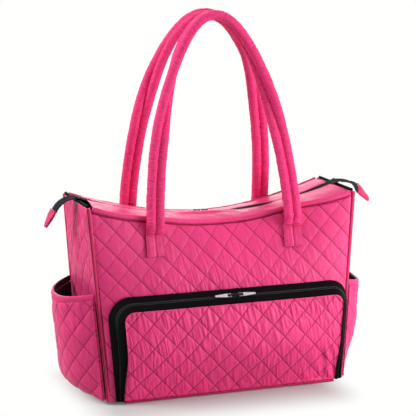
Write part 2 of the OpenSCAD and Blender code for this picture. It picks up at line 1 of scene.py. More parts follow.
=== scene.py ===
import math
import bpy
import numpy as np
from numpy import arange, array, clip, concatenate, cos, exp, interp, linspace
from numpy import maximum, meshgrid, minimum, pi, sin, sqrt
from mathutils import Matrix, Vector


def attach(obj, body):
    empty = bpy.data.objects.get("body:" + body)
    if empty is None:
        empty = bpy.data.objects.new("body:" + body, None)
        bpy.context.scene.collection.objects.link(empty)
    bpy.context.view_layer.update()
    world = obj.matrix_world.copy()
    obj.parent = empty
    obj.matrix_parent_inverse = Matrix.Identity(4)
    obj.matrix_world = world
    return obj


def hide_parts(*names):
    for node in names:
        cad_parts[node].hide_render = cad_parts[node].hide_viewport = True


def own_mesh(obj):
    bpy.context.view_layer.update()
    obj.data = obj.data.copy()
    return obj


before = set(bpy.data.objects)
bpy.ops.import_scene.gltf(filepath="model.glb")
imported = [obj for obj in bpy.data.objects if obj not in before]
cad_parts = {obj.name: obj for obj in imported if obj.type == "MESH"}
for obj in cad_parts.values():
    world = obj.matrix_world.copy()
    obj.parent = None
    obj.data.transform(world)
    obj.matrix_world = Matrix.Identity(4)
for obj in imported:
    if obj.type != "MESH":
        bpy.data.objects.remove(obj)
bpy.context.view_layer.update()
MM = 0.001

# Sizes in mm, as in the CAD source, apart from leg_taper, which is 0.55 there
top_w, base_w, end_h, dip = 410.0, 364.0, 284.0, 36.0
base_d, top_d, mid_d, swell_d, slack_d, pinch_z = 156.0, 130.0, 80.0, 11.0, 6.0, 166.0
panel_t, base_t, gap, piping_r, binding_r, edge_r = 4.0, 4.0, 0.3, 2.3, 2.2, 1.6
side_h, hem_h = 151.0, 9.0
pocket_h, pocket_margin, pocket_r, band_w, band_lift, flap_bulge = 156.0, 7.0, 32.0, 17.0, 22.0, 5.0
pocket_shift, leg_taper = 5.0, 0.7
tape_t, tape_w, coil_t, zip_rise, top_meet, strip_half = 0.8, 13.0, 1.4, 6.5, -14.0, 186.0
tail_l, left_droop, right_droop, tail_tab_l = 37.0, 62.0, 46.0, 27.0
handle_x, handle_z, handle_top, handle_apart, tube_r, tab_l = 106.0, 241.0, 545.0, 31.0, 7.0, 30.0
front_arch, back_arch = 1.2, 0.95

# End pockets: how far each stands out, the height where it is full, the sag of its rim and the rim's fall
# to the front. In the CAD source the right rim sags by 9 and does not fall
left_fill, right_fill = (45.0, 32.0, 9.0, 0.0), (42.0, 84.0, 13.0, 9.0)

# Not in the CAD source: the handles pull the front rim up. Height, place and reach of each lift
rim_lifts = ((6.5, 112, 50), (3.0, -100, 40))

# Sizes that follow from these
slope = (top_w - base_w) / 2 / end_h
slope_len = math.hypot(1, slope)
edge = panel_t + gap
panel_z = base_t + gap
arc_r = ((top_w / 2) ** 2 + dip ** 2) / (2 * dip)
arc_z = end_h - dip + arc_r
zip_r = arc_r - zip_rise
bind_r = panel_t / 2
zip_d = band_w / 2
band_low = tape_t + gap
band_rise = (band_lift - band_low) / band_w
foot = (panel_t + gap) / band_lift
hinge_z = bind_r + 0.4
flap_z = hinge_z + bind_r + gap
arc_cz = pocket_h - pocket_r
side_t = panel_t + 1.6
side_cloth = panel_t - 0.6
tail_x = top_w / 2 + 2
tail_z = arc_z - math.sqrt(zip_r ** 2 - tail_x ** 2)


# Shape of the bag
def lerp(a, b, t):
    return a + (b - a) * t


def ease(t):
    t = clip(t, 0, 1)
    return t * t * (3 - 2 * t)


def hill(x, at, reach, power=2):
    """1 at one place, falling to 0 on both sides of it."""
    return exp(-((x - at) / reach) ** power)


def half_w(z):
    return base_w / 2 + slope * z


def half_d(z):
    return base_d / 2 + (top_d - base_d) / 2 * z / end_h


def top_z(x):
    return arc_z - sqrt(arc_r ** 2 - np.asarray(x, float) ** 2)


def rim_z(x, sign):
    """Height of the top seam; only the front one is lifted."""
    lift = sum(high * hill(x, at, reach) for high, at, reach in rim_lifts)
    return top_z(x) + (lift if sign < 0 else 0)


def zip_z(x):
    return arc_z - sqrt(zip_r ** 2 - np.asarray(x, float) ** 2)


def face_d(x, z):
    """Distance of a panel's face from the middle of the bag."""
    x, z = np.asarray(x, float), np.asarray(z, float)
    pinch = (top_d - mid_d) / 2 * (0.5 + 0.5 * cos(pi * x / (top_w / 2)))
    lean = clip((z - pinch_z) / (top_z(x) - pinch_z), 0, None) ** 1.4
    side = 1 - clip(abs(x) / half_w(z), 0, 1) ** 8
    return half_d(z) + swell_d * side * sin(pi * clip(z / (end_h - dip), 0, 1)) - pinch * lean


arc_cx = half_w(arc_cz) - pocket_margin - pocket_r * slope_len
hinge_y = -(float(face_d(0, panel_z)) + bind_r + gap)
leg_y = -(float(face_d(handle_x + 2 * tube_r, handle_z)) + tube_r + 0.5)
apex_y = -handle_apart / 2

# Names of sides and corners
CORNERS = ((-1, -1), (1, -1), (-1, 1), (1, 1))


def face_name(sign):
    return "front" if sign < 0 else "back"


def end_name(side):
    return "left" if side < 0 else "right"


def corner_name(sx, sy):
    return face_name(sy) + "_" + end_name(sx)


# Seeded noise
WORD = 0xFFFFFFFF
PRIME_I, PRIME_J, PRIME_SEED, PRIME_MIX = 374761393, 668265263, 1274126177, 2246822519


def hashed(i, j, seed):
    """A fixed number from -1 to 1 for each cell."""
    h = (i.astype(np.int64) * PRIME_I + j.astype(np.int64) * PRIME_J + seed * PRIME_SEED) & WORD
    h = ((h ^ (h >> 13)) * PRIME_SEED) & WORD
    h = ((h ^ (h >> 16)) * PRIME_MIX) & WORD
    return (h ^ (h >> 15)) / 2 ** 31 - 1


def noise(x, y, seed=0):
    x, y = np.broadcast_arrays(np.asarray(x, float), np.asarray(y, float))
    i, j = np.floor(x), np.floor(y)
    u, v = ease(x - i), ease(y - j)
    a, b = hashed(i, j, seed), hashed(i + 1, j, seed)
    c, d = hashed(i, j + 1, seed), hashed(i + 1, j + 1, seed)
    return lerp(lerp(a, b, u), lerp(c, d, u), v)


def fbm(x, y, seed=0, octaves=2):
    return sum(noise(x * 2 ** k, y * 2 ** k, seed + 31 * k) / 2 ** k for k in range(octaves))


# Mesh helpers. Rows of a grid run up and columns run right, as seen from outside
TO_BACK, TO_RIGHT = array([1, -1, 1]), array([-1, 1, 1])


def placed(side, flip, *grids):
    """Grids for the front or left, mirrored for the back or right with their faces still outward."""
    if side < 0:
        return grids
    return [g[:, ::-1] * flip if g.shape[-1] == 3 else g[:, ::-1] for g in grids]


def pack(*c):
    """A grid of points from its coordinates."""
    return np.stack(np.broadcast_arrays(*c), -1)


def unit(v):
    return v / maximum(np.linalg.norm(v, axis=-1, keepdims=True), 1e-9)


def normals(p):
    return unit(np.cross(np.gradient(p, axis=1), np.gradient(p, axis=0)))


def tangents(path):
    return unit(np.gradient(path, axis=0))


def arc_len(p, centred=False):
    s = concatenate([[0], np.cumsum(np.linalg.norm(np.diff(p, axis=0), axis=1))])
    return s - s[-1] / 2 if centred else s


def quads(m, n, base=0, wrap=False, flip=False):
    i, j = meshgrid(arange(m - 1), arange(n if wrap else n - 1), indexing="ij")
    k = (j + 1) % n
    f = pack(i * n + j, i * n + k, (i + 1) * n + k, (i + 1) * n + j).reshape(-1, 4) + base
    return (f[:, ::-1] if flip else f).tolist()


def strip_quads(a, b):
    return [[a[i], a[i + 1], b[i + 1], b[i]] for i in range(len(a) - 1)]


def piece(name, co, faces, mat, body, nodes=(), slot=None, uv=None):
    me = bpy.data.meshes.new(name)
    me.from_pydata((np.asarray(co) * MM).tolist(), [], faces)
    me.update()
    me.polygons.foreach_set("use_smooth", np.ones(len(me.polygons), bool))
    if uv is not None:
        idx = np.zeros(len(me.loops), int)
        me.loops.foreach_get("vertex_index", idx)
        me.uv_layers.new(name="cloth").data.foreach_set("uv", (np.asarray(uv)[idx] * MM).ravel())
    me.materials.append(mat)
    ob = bpy.data.objects.new(name, me)
    bpy.context.collection.objects.link(ob)
    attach(ob, body)
    if nodes:
        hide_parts(*nodes)
    return ob


def slab(name, out, inn, mat, body, uv, **kw):
    """Closed sheet between an outer and an inner grid of points."""
    m, n = out.shape[:2]
    b = m * n
    g = arange(b).reshape(m, n)
    f = quads(m, n) + quads(m, n, b, flip=True)
    f += strip_quads((g[0] + b).tolist(), g[0].tolist()) + strip_quads(g[-1].tolist(), (g[-1] + b).tolist())
    f += strip_quads(g[::-1, 0].tolist(), (g[::-1, 0] + b).tolist())
    f += strip_quads(g[:, -1].tolist(), (g[:, -1] + b).tolist())
    co = concatenate([out.reshape(-1, 3), inn.reshape(-1, 3)])
    return piece(name, co, f, mat, body, uv=concatenate([uv.reshape(-1, 2)] * 2), **kw)


def pipe(name, rings, mat, body, uv=None, slot="plain_cloth", **kw):
    """Closed tube through rings of points, each turning left round the direction of travel."""
    m, n = rings.shape[:2]
    f = quads(m, n, wrap=True) + [list(range(n))[::-1], list(range((m - 1) * n, m * n))]
    if uv is None:
        uv = np.stack(meshgrid(arc_len(rings[m // 2]), arc_len(rings.mean(1)))[::-1], -1)
    return piece(name, rings.reshape(-1, 3), f, mat, body, slot=slot, uv=uv.reshape(-1, 2), **kw)


def spread(path, step):
    """Points at an even step along a path, with their distance along it."""
    path = np.asarray(path, float)
    s = arc_len(path)
    t = linspace(0, s[-1], max(2, int(round(s[-1] / step)) + 1))
    return np.stack([interp(t, s, path[:, k]) for k in range(path.shape[1])], -1), t


def round_rings(path, side, n, radius):
    """Rings round a path; side is a vector across it and radius(i, angle) gives a ring's two radii."""
    t = tangents(path)
    a = unit(np.cross(np.broadcast_to(side, t.shape), t))
    b = np.cross(t, a)
    ang = arange(n) * 2 * pi / n
    ra, rb = radius(arange(len(path))[:, None], ang[None, :])
    rings = path[:, None] + (ra * cos(ang))[..., None] * a[:, None]
    return rings + (rb * sin(ang))[..., None] * b[:, None]


def smooth(r):
    """Radius of a smooth round cord."""
    return lambda i, ang: (r, r)


def ribbed(s, period, flat, tall):
    """Radii of a zip coil with one rib per period."""

    def radius(i, ang):
        r = 1 + 0.32 * sin(2 * pi * s[i] / period)
        return flat * r, tall * r

    return radius


class Thread:
    """Rows of stitches that end up in one mesh."""

    THICK = array([0.35, 0.85, 1, 0.85, 0.35])
    LIFT = array([-0.5, 0.35, 0.6, 0.35, -0.5])
    SIDES = 6

    def __init__(self):
        self.co, self.faces = [], []

    def row(self, path, up, length=3.2, space=1.1, r=0.42, sink=0.1):
        """Stitches along a path; up points out of the cloth, in one vector or one for each point."""
        up = np.atleast_2d(np.asarray(up, float))
        p, s = spread(path, 0.8)
        share = linspace(0, 1, len(up))
        u = np.stack([interp(s / s[-1], share, up[:, k]) for k in range(3)], -1)
        ang = arange(self.SIDES) * 2 * pi / self.SIDES
        rings = len(self.THICK)
        size = rings * self.SIDES
        n = int(s[-1] / (length + space))
        base = sum(len(c) for c in self.co)
        for k in range(n):
            at = (k + 0.5) * s[-1] / n + linspace(-0.5, 0.5, rings) * length
            c = np.stack([interp(at, s, p[:, j]) for j in range(3)], -1)
            h = unit(array([interp(at[rings // 2], s, u[:, j]) for j in range(3)]))
            w = unit(np.cross(h, c[-1] - c[0]))
            ring = cos(ang)[:, None] * w + sin(ang)[:, None] * h
            lift = self.LIFT * r - sink
            ring = c[:, None] + lift[:, None, None] * h + (r * self.THICK)[:, None, None] * ring
            self.co.append(ring.reshape(-1, 3))
            self.faces += quads(rings, self.SIDES, base, wrap=True, flip=True)
            last = base + size
            self.faces += [list(range(base, base + self.SIDES)), list(range(last - self.SIDES, last))[::-1]]
            base = last

    def make(self, name, mat, body):
        return piece(name, concatenate(self.co), self.faces, mat, body, slot="plain_cloth")


# Stitches that lie end to end read as a seam line, and short ones hold the small pieces
SEAM_ROW = {"length": 4.4, "space": -0.4, "r": 0.6}
SHORT_ROW = {"length": 2.4, "space": 0.9}


# Materials
def material(name):
    m = bpy.data.materials.new(name)
    m.use_nodes = True
    t = m.node_tree
    return m, t, t.nodes["Principled BSDF"]


def put(t, sock, v):
    if isinstance(v, bpy.types.NodeSocket):
        t.links.new(v, sock)
    else:
        sock.default_value = v


def calc(t, op, *args):
    n = t.nodes.new("ShaderNodeMath")
    n.operation = op
    for k, a in enumerate(args):
        put(t, n.inputs[k], a)
    return n.outputs[0]


def times(t, a, b):
    return calc(t, "MULTIPLY", a, b)


def plus(t, a, b):
    return calc(t, "ADD", a, b)


def rise(t, v, a, b, lo=0.0, hi=1.0):
    n = t.nodes.new("ShaderNodeMapRange")
    n.interpolation_type = "SMOOTHSTEP"
    for k, x in zip(("Value", "From Min", "From Max", "To Min", "To Max"), (v, a, b, lo, hi)):
        put(t, n.inputs[k], x)
    return n.outputs[0]


def blend_colour(t, fac, a, b):
    n = t.nodes.new("ShaderNodeMix")
    n.data_type = "RGBA"
    put(t, n.inputs[0], fac)
    put(t, n.inputs[6], a)
    put(t, n.inputs[7], b)
    return n.outputs[2]


def speckle(t, vec, stretch, detail=3.0, rough=0.5):
    """Noise with that many spots per metre each way."""
    s = t.nodes.new("ShaderNodeVectorMath")
    s.operation = "MULTIPLY"
    put(t, s.inputs[0], vec)
    s.inputs[1].default_value = stretch
    n = t.nodes.new("ShaderNodeTexNoise")
    put(t, n.inputs["Vector"], s.outputs[0])
    for k, x in (("Scale", 1.0), ("Detail", detail), ("Roughness", rough)):
        n.inputs[k].default_value = x
    return n.outputs["Fac"]


def bump(t, bsdf, height):
    n = t.nodes.new("ShaderNodeBump")
    n.inputs["Distance"].default_value = MM
    n.inputs["Strength"].default_value = 1.0
    put(t, n.inputs["Height"], height)
    t.links.new(n.outputs[0], bsdf.inputs["Normal"])


def coords(t, uv=True):
    n = t.nodes.new("ShaderNodeTexCoord")
    vec = n.outputs["UV" if uv else "Object"]
    s = t.nodes.new("ShaderNodeSeparateXYZ")
    t.links.new(vec, s.inputs[0])
    return vec, s.outputs[0], s.outputs[1]


def srgb(*rgb):
    linear = (((c / 255 + 0.055) / 1.055) ** 2.4 if c > 10 else c / 255 / 12.92 for c in rgb)
    return tuple(linear) + (1.0,)


def tone(colour, k):
    return [c * k for c in colour[:3]] + [1]


# Width and height of a quilted diamond, the distance between its stitch lines, their width and their stitch
HD, VD = 33.0, 35.5
PITCH = 1 / math.hypot(1 / HD, 1 / VD)
LINE_W, STITCH_L = 1.3, 3.0
PER_M = 1000


def wave(t, v, period):
    return calc(t, "SINE", times(t, v, 2 * math.pi / period))


def stitch_lines(t, x, y, strengths):
    """Depth of the two families of dashed stitch lines."""
    total = None
    for way, strength in zip((PER_M, -PER_M), strengths):
        across = plus(t, times(t, x, PER_M / HD), times(t, y, way / VD))
        along = plus(t, times(t, x, PER_M / HD), times(t, y, -way / VD))
        off = times(t, calc(t, "PINGPONG", across, 0.5), PITCH)
        dash = calc(t, "PINGPONG", times(t, along, PITCH / STITCH_L), 0.5)
        dash = rise(t, dash, 0.05, 0.2, 0.45, 1.0)
        line = times(t, rise(t, off, 0.1, LINE_W, 1.0, 0.0), times(t, dash, strength))
        total = line if total is None else calc(t, "MAXIMUM", total, line)
    return total


NYLON_SHEEN = {"Sheen Roughness": 0.45, "Sheen Tint": (1.0, 0.72, 0.82, 1.0), "Specular IOR Level": 0.2}


def nylon(name, colour, dark, quilt=None, pucker=0.3, rough=0.46, sheen=0.06, fold=(165.0, 42.0), painted_crease_shade=0.0):
    """Woven nylon. quilt: strength of the stitch lines. fold: creases per metre. The last argument is the
    painted shade in the creases.
    """
    m, t, b = material(name)
    vec, x, y = coords(t)
    cloud = speckle(t, vec, (9.0, 7.0, 1.0), 4.0)
    grain = speckle(t, vec, (900.0, 260.0, 1.0), 2.0)
    crease = speckle(t, vec, fold + (1.0,), 3.0, 0.6)
    base = blend_colour(t, rise(t, cloud, 0.3, 0.7), tone(colour, 0.9), tone(colour, 1.06))
    base = blend_colour(t, rise(t, grain, 0.35, 0.75, 0.0, 0.12), base, dark)
    # Painted shade: the base colour darkens towards dark where the crease noise is low
    if painted_crease_shade:
        base = blend_colour(t, rise(t, crease, 0.34, 0.5, painted_crease_shade, 0.0), base, dark)
    weave = times(t, wave(t, x, 0.0007), wave(t, y, 0.0007))
    height = plus(t, times(t, crease, pucker), times(t, weave, 0.02))
    if quilt:
        lines = stitch_lines(t, x, y, quilt)
        # Darker along the stitch lines: partly the darker thread, partly painted shade in their grooves
        base = blend_colour(t, times(t, lines, 0.95), base, tone(dark, 0.72))
        height = calc(t, "SUBTRACT", height, times(t, lines, 0.3))
    t.links.new(base, b.inputs["Base Color"])
    put(t, b.inputs["Roughness"], rise(t, cloud, 0.25, 0.75, rough - 0.05, rough + 0.07))
    b.inputs["Sheen Weight"].default_value = sheen
    for k, v in NYLON_SHEEN.items():
        b.inputs[k].default_value = v
    bump(t, b, height)
    return m


def tape_material(name, colour, light):
    m, t, b = material(name)
    vec, x, y = coords(t)
    rib = wave(t, plus(t, x, times(t, y, 0.6)), 0.0011)
    cross = wave(t, y, 0.0008)
    dust = speckle(t, vec, (40.0, 25.0, 1.0), 4.0)
    t.links.new(blend_colour(t, rise(t, dust, 0.35, 0.75), colour, light), b.inputs["Base Color"])
    put(t, b.inputs["Roughness"], rise(t, dust, 0.2, 0.8, 0.6, 0.75))
    b.inputs["Specular IOR Level"].default_value = 0.04
    bump(t, b, plus(t, times(t, rib, 0.05), times(t, cross, 0.03)))
    return m


def hard(name, colour, metal, rough, shine=0.5):
    m, t, b = material(name)
    vec = coords(t, uv=False)[0]
    brush = speckle(t, vec, (260.0, 1400.0, 1400.0))
    cloud = speckle(t, vec, (180.0, 180.0, 180.0))
    t.links.new(blend_colour(t, rise(t, cloud, 0.3, 0.7), tone(colour, 0.86), colour), b.inputs["Base Color"])
    b.inputs["Metallic"].default_value = metal
    put(t, b.inputs["Roughness"], rise(t, brush, 0.3, 0.7, rough * 0.75, rough * 1.25))
    b.inputs["Specular IOR Level"].default_value = shine
    bump(t, b, times(t, brush, 0.02))
    return m


PINK, DEEP = srgb(233, 62, 127), srgb(172, 12, 68)
pink_panel = nylon("pink_quilt_panel", PINK, DEEP, (1.0, 0.45))
pink_pocket = nylon("pink_quilt_pocket", PINK, DEEP, (1.0, 0.95))
pink_side = nylon("pink_quilt_side", PINK, DEEP, (0.85, 0.85))
pink_plain = nylon("pink_plain", srgb(233, 61, 127), DEEP, pucker=0.35)
# Painted light: the handles' pink is lighter than the body's pink, to make up for the light the tubes miss;
# painted shade darkens their creases
pink_handle_painted_light_and_shade = nylon("pink_handle_painted_light_and_shade", srgb(254, 62, 134), srgb(176, 14, 66), pucker=3.2, rough=0.5, sheen=0.0,
                    fold=(460.0, 95.0), painted_crease_shade=0.2)
pink_trim = nylon("pink_trim", srgb(214, 44, 100), srgb(140, 10, 50), pucker=0.5, fold=(300.0, 80.0))
# Seam lines at the tabs and handle ends, and painted shadow in the groove under the top binding
pink_seam_and_shadow = nylon("pink_seam_and_shadow", srgb(150, 12, 64), srgb(96, 4, 38), pucker=0.1)
# Painted shade: a darker copy of the pink for the roll at the foot of the front pocket, under the flap
pink_bottom_painted_shade = nylon("pink_bottom_painted_shade", srgb(178, 20, 80), srgb(112, 6, 44), pucker=0.5, fold=(300.0, 80.0))
# Painted shadow: the near-black cord beside each corner piping stands in for the shade in the seam
painted_seam_shadow = nylon("painted_seam_shadow", srgb(92, 8, 40), srgb(50, 2, 22), pucker=0.1)
pink_thread = nylon("pink_thread", srgb(205, 40, 98), DEEP, pucker=0.1)
lining_cloth = nylon("black_lining", srgb(24, 21, 25), srgb(8, 7, 9), pucker=0.4, rough=0.5, sheen=0.08)
black_tape = tape_material("black_zip_tape", srgb(4, 3, 5), srgb(9, 7, 10))
grey_tape = tape_material("grey_zip_tape", srgb(34, 34, 39), srgb(58, 58, 64))
coil_plastic = hard("black_coil", srgb(14, 12, 15), 0.0, 0.45, shine=0.3)
slider_black = hard("slider_black", srgb(30, 28, 32), 0.6, 0.34)
pull_metal = hard("pull_metal", srgb(200, 196, 202), 1.0, 0.28)
board_grey = hard("board_grey", srgb(88, 84, 82), 0.0, 0.8)


# Quilting: a flat swatch of diamonds is puffed by the cloth solver with its stitch lines pinned, and the
# quilted panels are cut from it, diamond by diamond
CELL, DIAMONDS, SIM_SCALE, SIM_FRAMES = 14, 6, 0.01, 20
GRAVITY = 9.81


def finer(h):
    """A height grid with twice the points along its first axis."""
    pad = concatenate([2 * h[:1] - h[1:2], h, 2 * h[-1:] - h[-2:-1]])
    mid = (9 * (pad[1:-2] + pad[2:-1]) - pad[:-3] - pad[3:]) / 16
    out = np.empty((2 * len(h) - 1, h.shape[1]))
    out[::2], out[1::2] = h, mid
    return out


def sewn_swatch():
    """Heights of the puffed swatch, about 1 on a diamond's crown and 0 on its stitch lines."""
    n = CELL * DIAMONDS + 1
    i, j = meshgrid(arange(n), arange(n), indexing="ij")
    pinned = (i % CELL == 0) | (j % CELL == 0)
    rough = np.where(pinned, 0, 0.04 * np.random.RandomState(11).randn(n, n))
    at = pack((i + j) * HD / 2 / CELL, rough, (i - j) * VD / 2 / CELL).reshape(-1, 3)
    k = (arange(n - 1)[:, None] * n + arange(n - 1)[None]).ravel()
    me = bpy.data.meshes.new("swatch")
    me.from_pydata((at * SIM_SCALE).tolist(), [], pack(k, k + 1, k + n + 1, k + n).tolist())
    ob = bpy.data.objects.new("swatch", me)
    bpy.context.scene.collection.objects.link(ob)
    ob.vertex_groups.new(name="stitches").add(np.where(pinned.ravel())[0].tolist(), 1.0, "REPLACE")
    cloth = ob.modifiers.new("cloth", "CLOTH")
    cloth.point_cache.frame_start, cloth.point_cache.frame_end = 1, SIM_FRAMES
    cloth.collision_settings.use_collision = False
    c = cloth.settings
    c.quality, c.mass, c.air_damping = 6, 0.15, 2.0
    c.vertex_group_mass = "stitches"
    c.shrink_min = -0.03
    c.tension_stiffness, c.compression_stiffness, c.shear_stiffness, c.bending_stiffness = 25, 25, 8, 3
    c.effector_weights.gravity = 1.0
    scene = bpy.context.scene
    scene.gravity = (0, -GRAVITY, 0)
    for f in range(1, SIM_FRAMES + 1):
        scene.frame_set(f)
    done = ob.evaluated_get(bpy.context.evaluated_depsgraph_get()).to_mesh()
    co = np.zeros(n * n * 3)
    done.vertices.foreach_get("co", co)
    scene.frame_set(1)
    scene.gravity = (0, 0, -GRAVITY)
    bpy.data.objects.remove(ob)
    bpy.data.meshes.remove(me)
    h = -co.reshape(n, n, 3)[..., 1] / SIM_SCALE
    h = h / np.percentile(h, 92)
    return clip(finer(finer(h).T).T, -0.4, 1.5)


SWATCH = sewn_swatch()
SHARE, RISE = (0.65, 0.35) if SWATCH is None else (0.4, 0.75)


def swatch_height(p, q, seed):
    side = 2 * CELL
    ci, cj = np.floor(p), np.floor(q)
    pick = np.floor((hashed(ci, cj, seed) + 1) * 500).astype(int)
    fi, fj = (p - ci) * side, (q - cj) * side
    i0, j0 = (minimum(f.astype(int), side - 1) for f in (fi, fj))
    u, v = fi - i0, fj - j0
    i, j = pick % DIAMONDS * side + i0, pick // DIAMONDS % DIAMONDS * side + j0
    low = SWATCH[i, j] * (1 - v) + SWATCH[i, j + 1] * v
    high = SWATCH[i + 1, j] * (1 - v) + SWATCH[i + 1, j + 1] * v
    return low * (1 - u) + high * u


def quilted(a, b, seed, puff=1.3, second=1.0, full=0.7):
    """Height of the puffs and depth of the creases; second is the strength of the second family of lines."""
    p, q = a / HD + b / VD, a / HD - b / VD
    d1 = abs(p - np.round(p)) * PITCH
    d2 = abs(q - np.round(q)) * PITCH
    crown = 1 - exp(-minimum(d1, d2 / max(second, 0.3)) / 5)
    pillow = (1 - exp(-d1 / 1.3)) * (1 - second * exp(-d2 / 1.3))
    cell = hashed(np.floor(p), np.floor(q), seed) * 50
    r = noise(a / 3.3 + cell + 0.06 * b, b / 24 + cell * 0.7, seed + 1)
    ridge = 2 * abs(r) ** 0.8 - 0.8
    if SWATCH is not None:
        crown = swatch_height(p, q, seed) + (1 - second) * 0.6 * exp(-d2 / 4) * (1 - exp(-d1 / 4))
        crown = crown * full
    return puff * (SHARE * pillow + RISE * crown - 0.7), ridge * clip(pillow * 1.3 - 0.15, 0, 1)


def seam_fade(shape, cols=4, rows=4):
    """1 inside, falling to 0 at the sewn edges of a grid, over that many points."""
    m, n = shape
    i = minimum(arange(m), arange(m)[::-1])[:, None] / rows
    j = minimum(arange(n), arange(n)[::-1])[None] / cols
    return ease(i) * ease(j)


def piped_dip(room):
    """How far cloth sinks beside a piped edge that is room mm away."""
    return 0.7 * exp(-room / 1.8)


# Front and back panels. Amplitudes and lengths of folds are in mm
def panel_points(m, n, depth, sign):
    u = linspace(-1, 1, n)[None]
    v = linspace(0, 1, m)[:, None]
    z = lerp(panel_z, rim_z(u * (half_w(end_h) - edge), sign), v)
    x = u * (half_w(z) - edge)
    return pack(x, depth - face_d(x, z), z)


def make_panel(sign, seed):
    out, inn = (panel_points(150, 360, depth, sign) for depth in (0, panel_t))
    x, z = out[..., 0], out[..., 2]
    drop = rim_z(x, sign) - z
    puff, fold = quilted(x, z, seed, 1.25, 0.6, 0.5)
    reach = 0.24 + 0.8 * hill(z, 172, 34) * (0.55 + 0.45 * noise(x / 50, z / 60, seed + 4))
    reach *= 0.35 + 0.65 * hill(x, -5, 120, 4)
    gather = 0.55 * exp(-drop / 9) * noise(x / 4.2, drop / 16, seed + 2)
    slow = 1.5 * fbm(x / 95, z / 80, seed + 3) * clip(drop / 40, 0, 1)
    h = seam_fade(x.shape) * (puff + fold * reach + slow) + gather * seam_fade(x.shape, 4, 1)
    h = h - piped_dip(half_w(z) - edge - abs(x))
    h = h - 2.2 * exp(-maximum(drop - 3.5, 0) / 1.4)
    out = out + normals(out) * h[..., None]
    uv = pack(x, z)
    out, inn, uv = placed(sign, TO_BACK, out, inn, uv)
    name = face_name(sign)
    nodes = [name + "_panel"]
    ob = slab(name + "_quilt", out, inn, pink_panel, "shell", uv, nodes=nodes, slot="quilted_cloth")


make_panel(-1, 11)
make_panel(1, 23)


# Gussets, slack above the end pockets
def make_gusset(side, seed):
    v, w = meshgrid(linspace(0, 1, 150), linspace(1, -1, 110), indexing="ij")
    z = lerp(panel_z, end_h, v)
    up = clip((z - side_h) / (end_h - side_h), 0, 1)
    slack = slack_d * (1 - w * w) * sin(pi * up)
    y = w * (half_d(z) - edge)
    out, inn = (pack(depth - half_w(z) - slack, y, z) for depth in (0, panel_t))
    uv = pack(y + 9, z + 6)
    puff, fold = quilted(uv[..., 0], uv[..., 1], seed, 1.4)
    dent = -hill(y, 0, 6.0) * ease((z - 205) / 60)
    wavy = 2.0 * noise(y / 16, z / 38, seed + 3) * up
    h = seam_fade(y.shape) * (puff + (0.4 + 0.5 * up) * fold + dent + wavy)
    h = h - piped_dip(half_d(z) - edge - abs(y))
    out = out + normals(out) * h[..., None]
    out, inn, uv = placed(side, TO_RIGHT, out, inn, uv)
    node = end_name(side) + "_gusset"
    ob = slab(node + "_quilt", out, inn, pink_side, "shell", uv, nodes=[node], slot="quilted_cloth")


make_gusset(-1, 37)
make_gusset(1, 41)


# Base: a padded cloth tray with rounded corners. Each row is how far it stands out and its height
BASE_ROWS = ((-70, 4.0), (-30, 4.0), (-2.5, 4.0), (-0.8, 3.7), (-0.1, 3.0), (0, 1.8), (-0.3, 0.8),
             (-1.2, 0.15), (-3, 0.0), (-8, 0.45), (-30, 0.9), (-70, 1.1))
BASE_SQUARE = 7.0


def base_ring(grow, z, n=220):
    t = linspace(0, 2 * pi, n, endpoint=False)
    c, s = cos(t), sin(t)
    r = abs(c / (base_w / 2 + grow)) ** BASE_SQUARE + abs(s / (base_d / 2 + grow)) ** BASE_SQUARE
    r = r ** (-1 / BASE_SQUARE)
    return pack(r * c, r * s, z)


base_rings = np.stack([base_ring(grow, z) for grow, z in BASE_ROWS])
base = pipe("base_cover", base_rings, pink_plain, "shell", uv=base_rings[..., :2], nodes=["base_panel"])

# Lining: a black cup hung inside
CUP_Z, CUP_DROP, FLOOR_ROWS, WALL_ROWS, LONG_COLS, END_COLS = 8.2, 1.5, 14, 50, 60, 24


def cup(inward):
    """Rows of points from the middle of the floor out to the walls and up to the rim."""
    j = linspace(-1, 1, LONG_COLS)
    e = linspace(-1, 1, END_COLS + 2)[1:-1]
    xp = concatenate([j, np.ones(END_COLS), j[::-1], -np.ones(END_COLS)])
    yp = concatenate([-np.ones(LONG_COLS), e, np.ones(LONG_COLS), -e])
    rim = top_z(xp * (half_w(end_h) - inward)) - CUP_DROP
    rows = []
    for k in range(FLOOR_ROWS + WALL_ROWS):
        v = max(0, (k - FLOOR_ROWS) / (WALL_ROWS - 1))
        z = lerp(CUP_Z, rim, v)
        x = xp * (half_w(z) - inward)
        y = yp * (face_d(x, z) - inward)
        if k < FLOOR_ROWS:
            s = (k + 0.5) / (FLOOR_ROWS + 0.5)
            x, y = x * s, y * s
        else:
            w = 1.4 * noise(np.arctan2(y, x) * 9, z / 40, 51) * sin(pi * v)
            x, y = x * (1 - abs(w) / 200), y * (1 - abs(w) / 70)
        rows.append(pack(x, y, z))
    return np.stack(rows)[:, ::-1]


def make_lining():
    inside = cup(edge + 1.6)
    m, n = inside.shape[:2]
    uv = np.stack(meshgrid(linspace(0, 1, n) * 1040, arc_len(inside[:, 30])), -1)
    return piece("lining_cup", inside.reshape(-1, 3), quads(m, n, wrap=True), lining_cloth, "shell",
                 nodes=["lining"], slot="lining", uv=uv.reshape(-1, 2))


lining = make_lining()


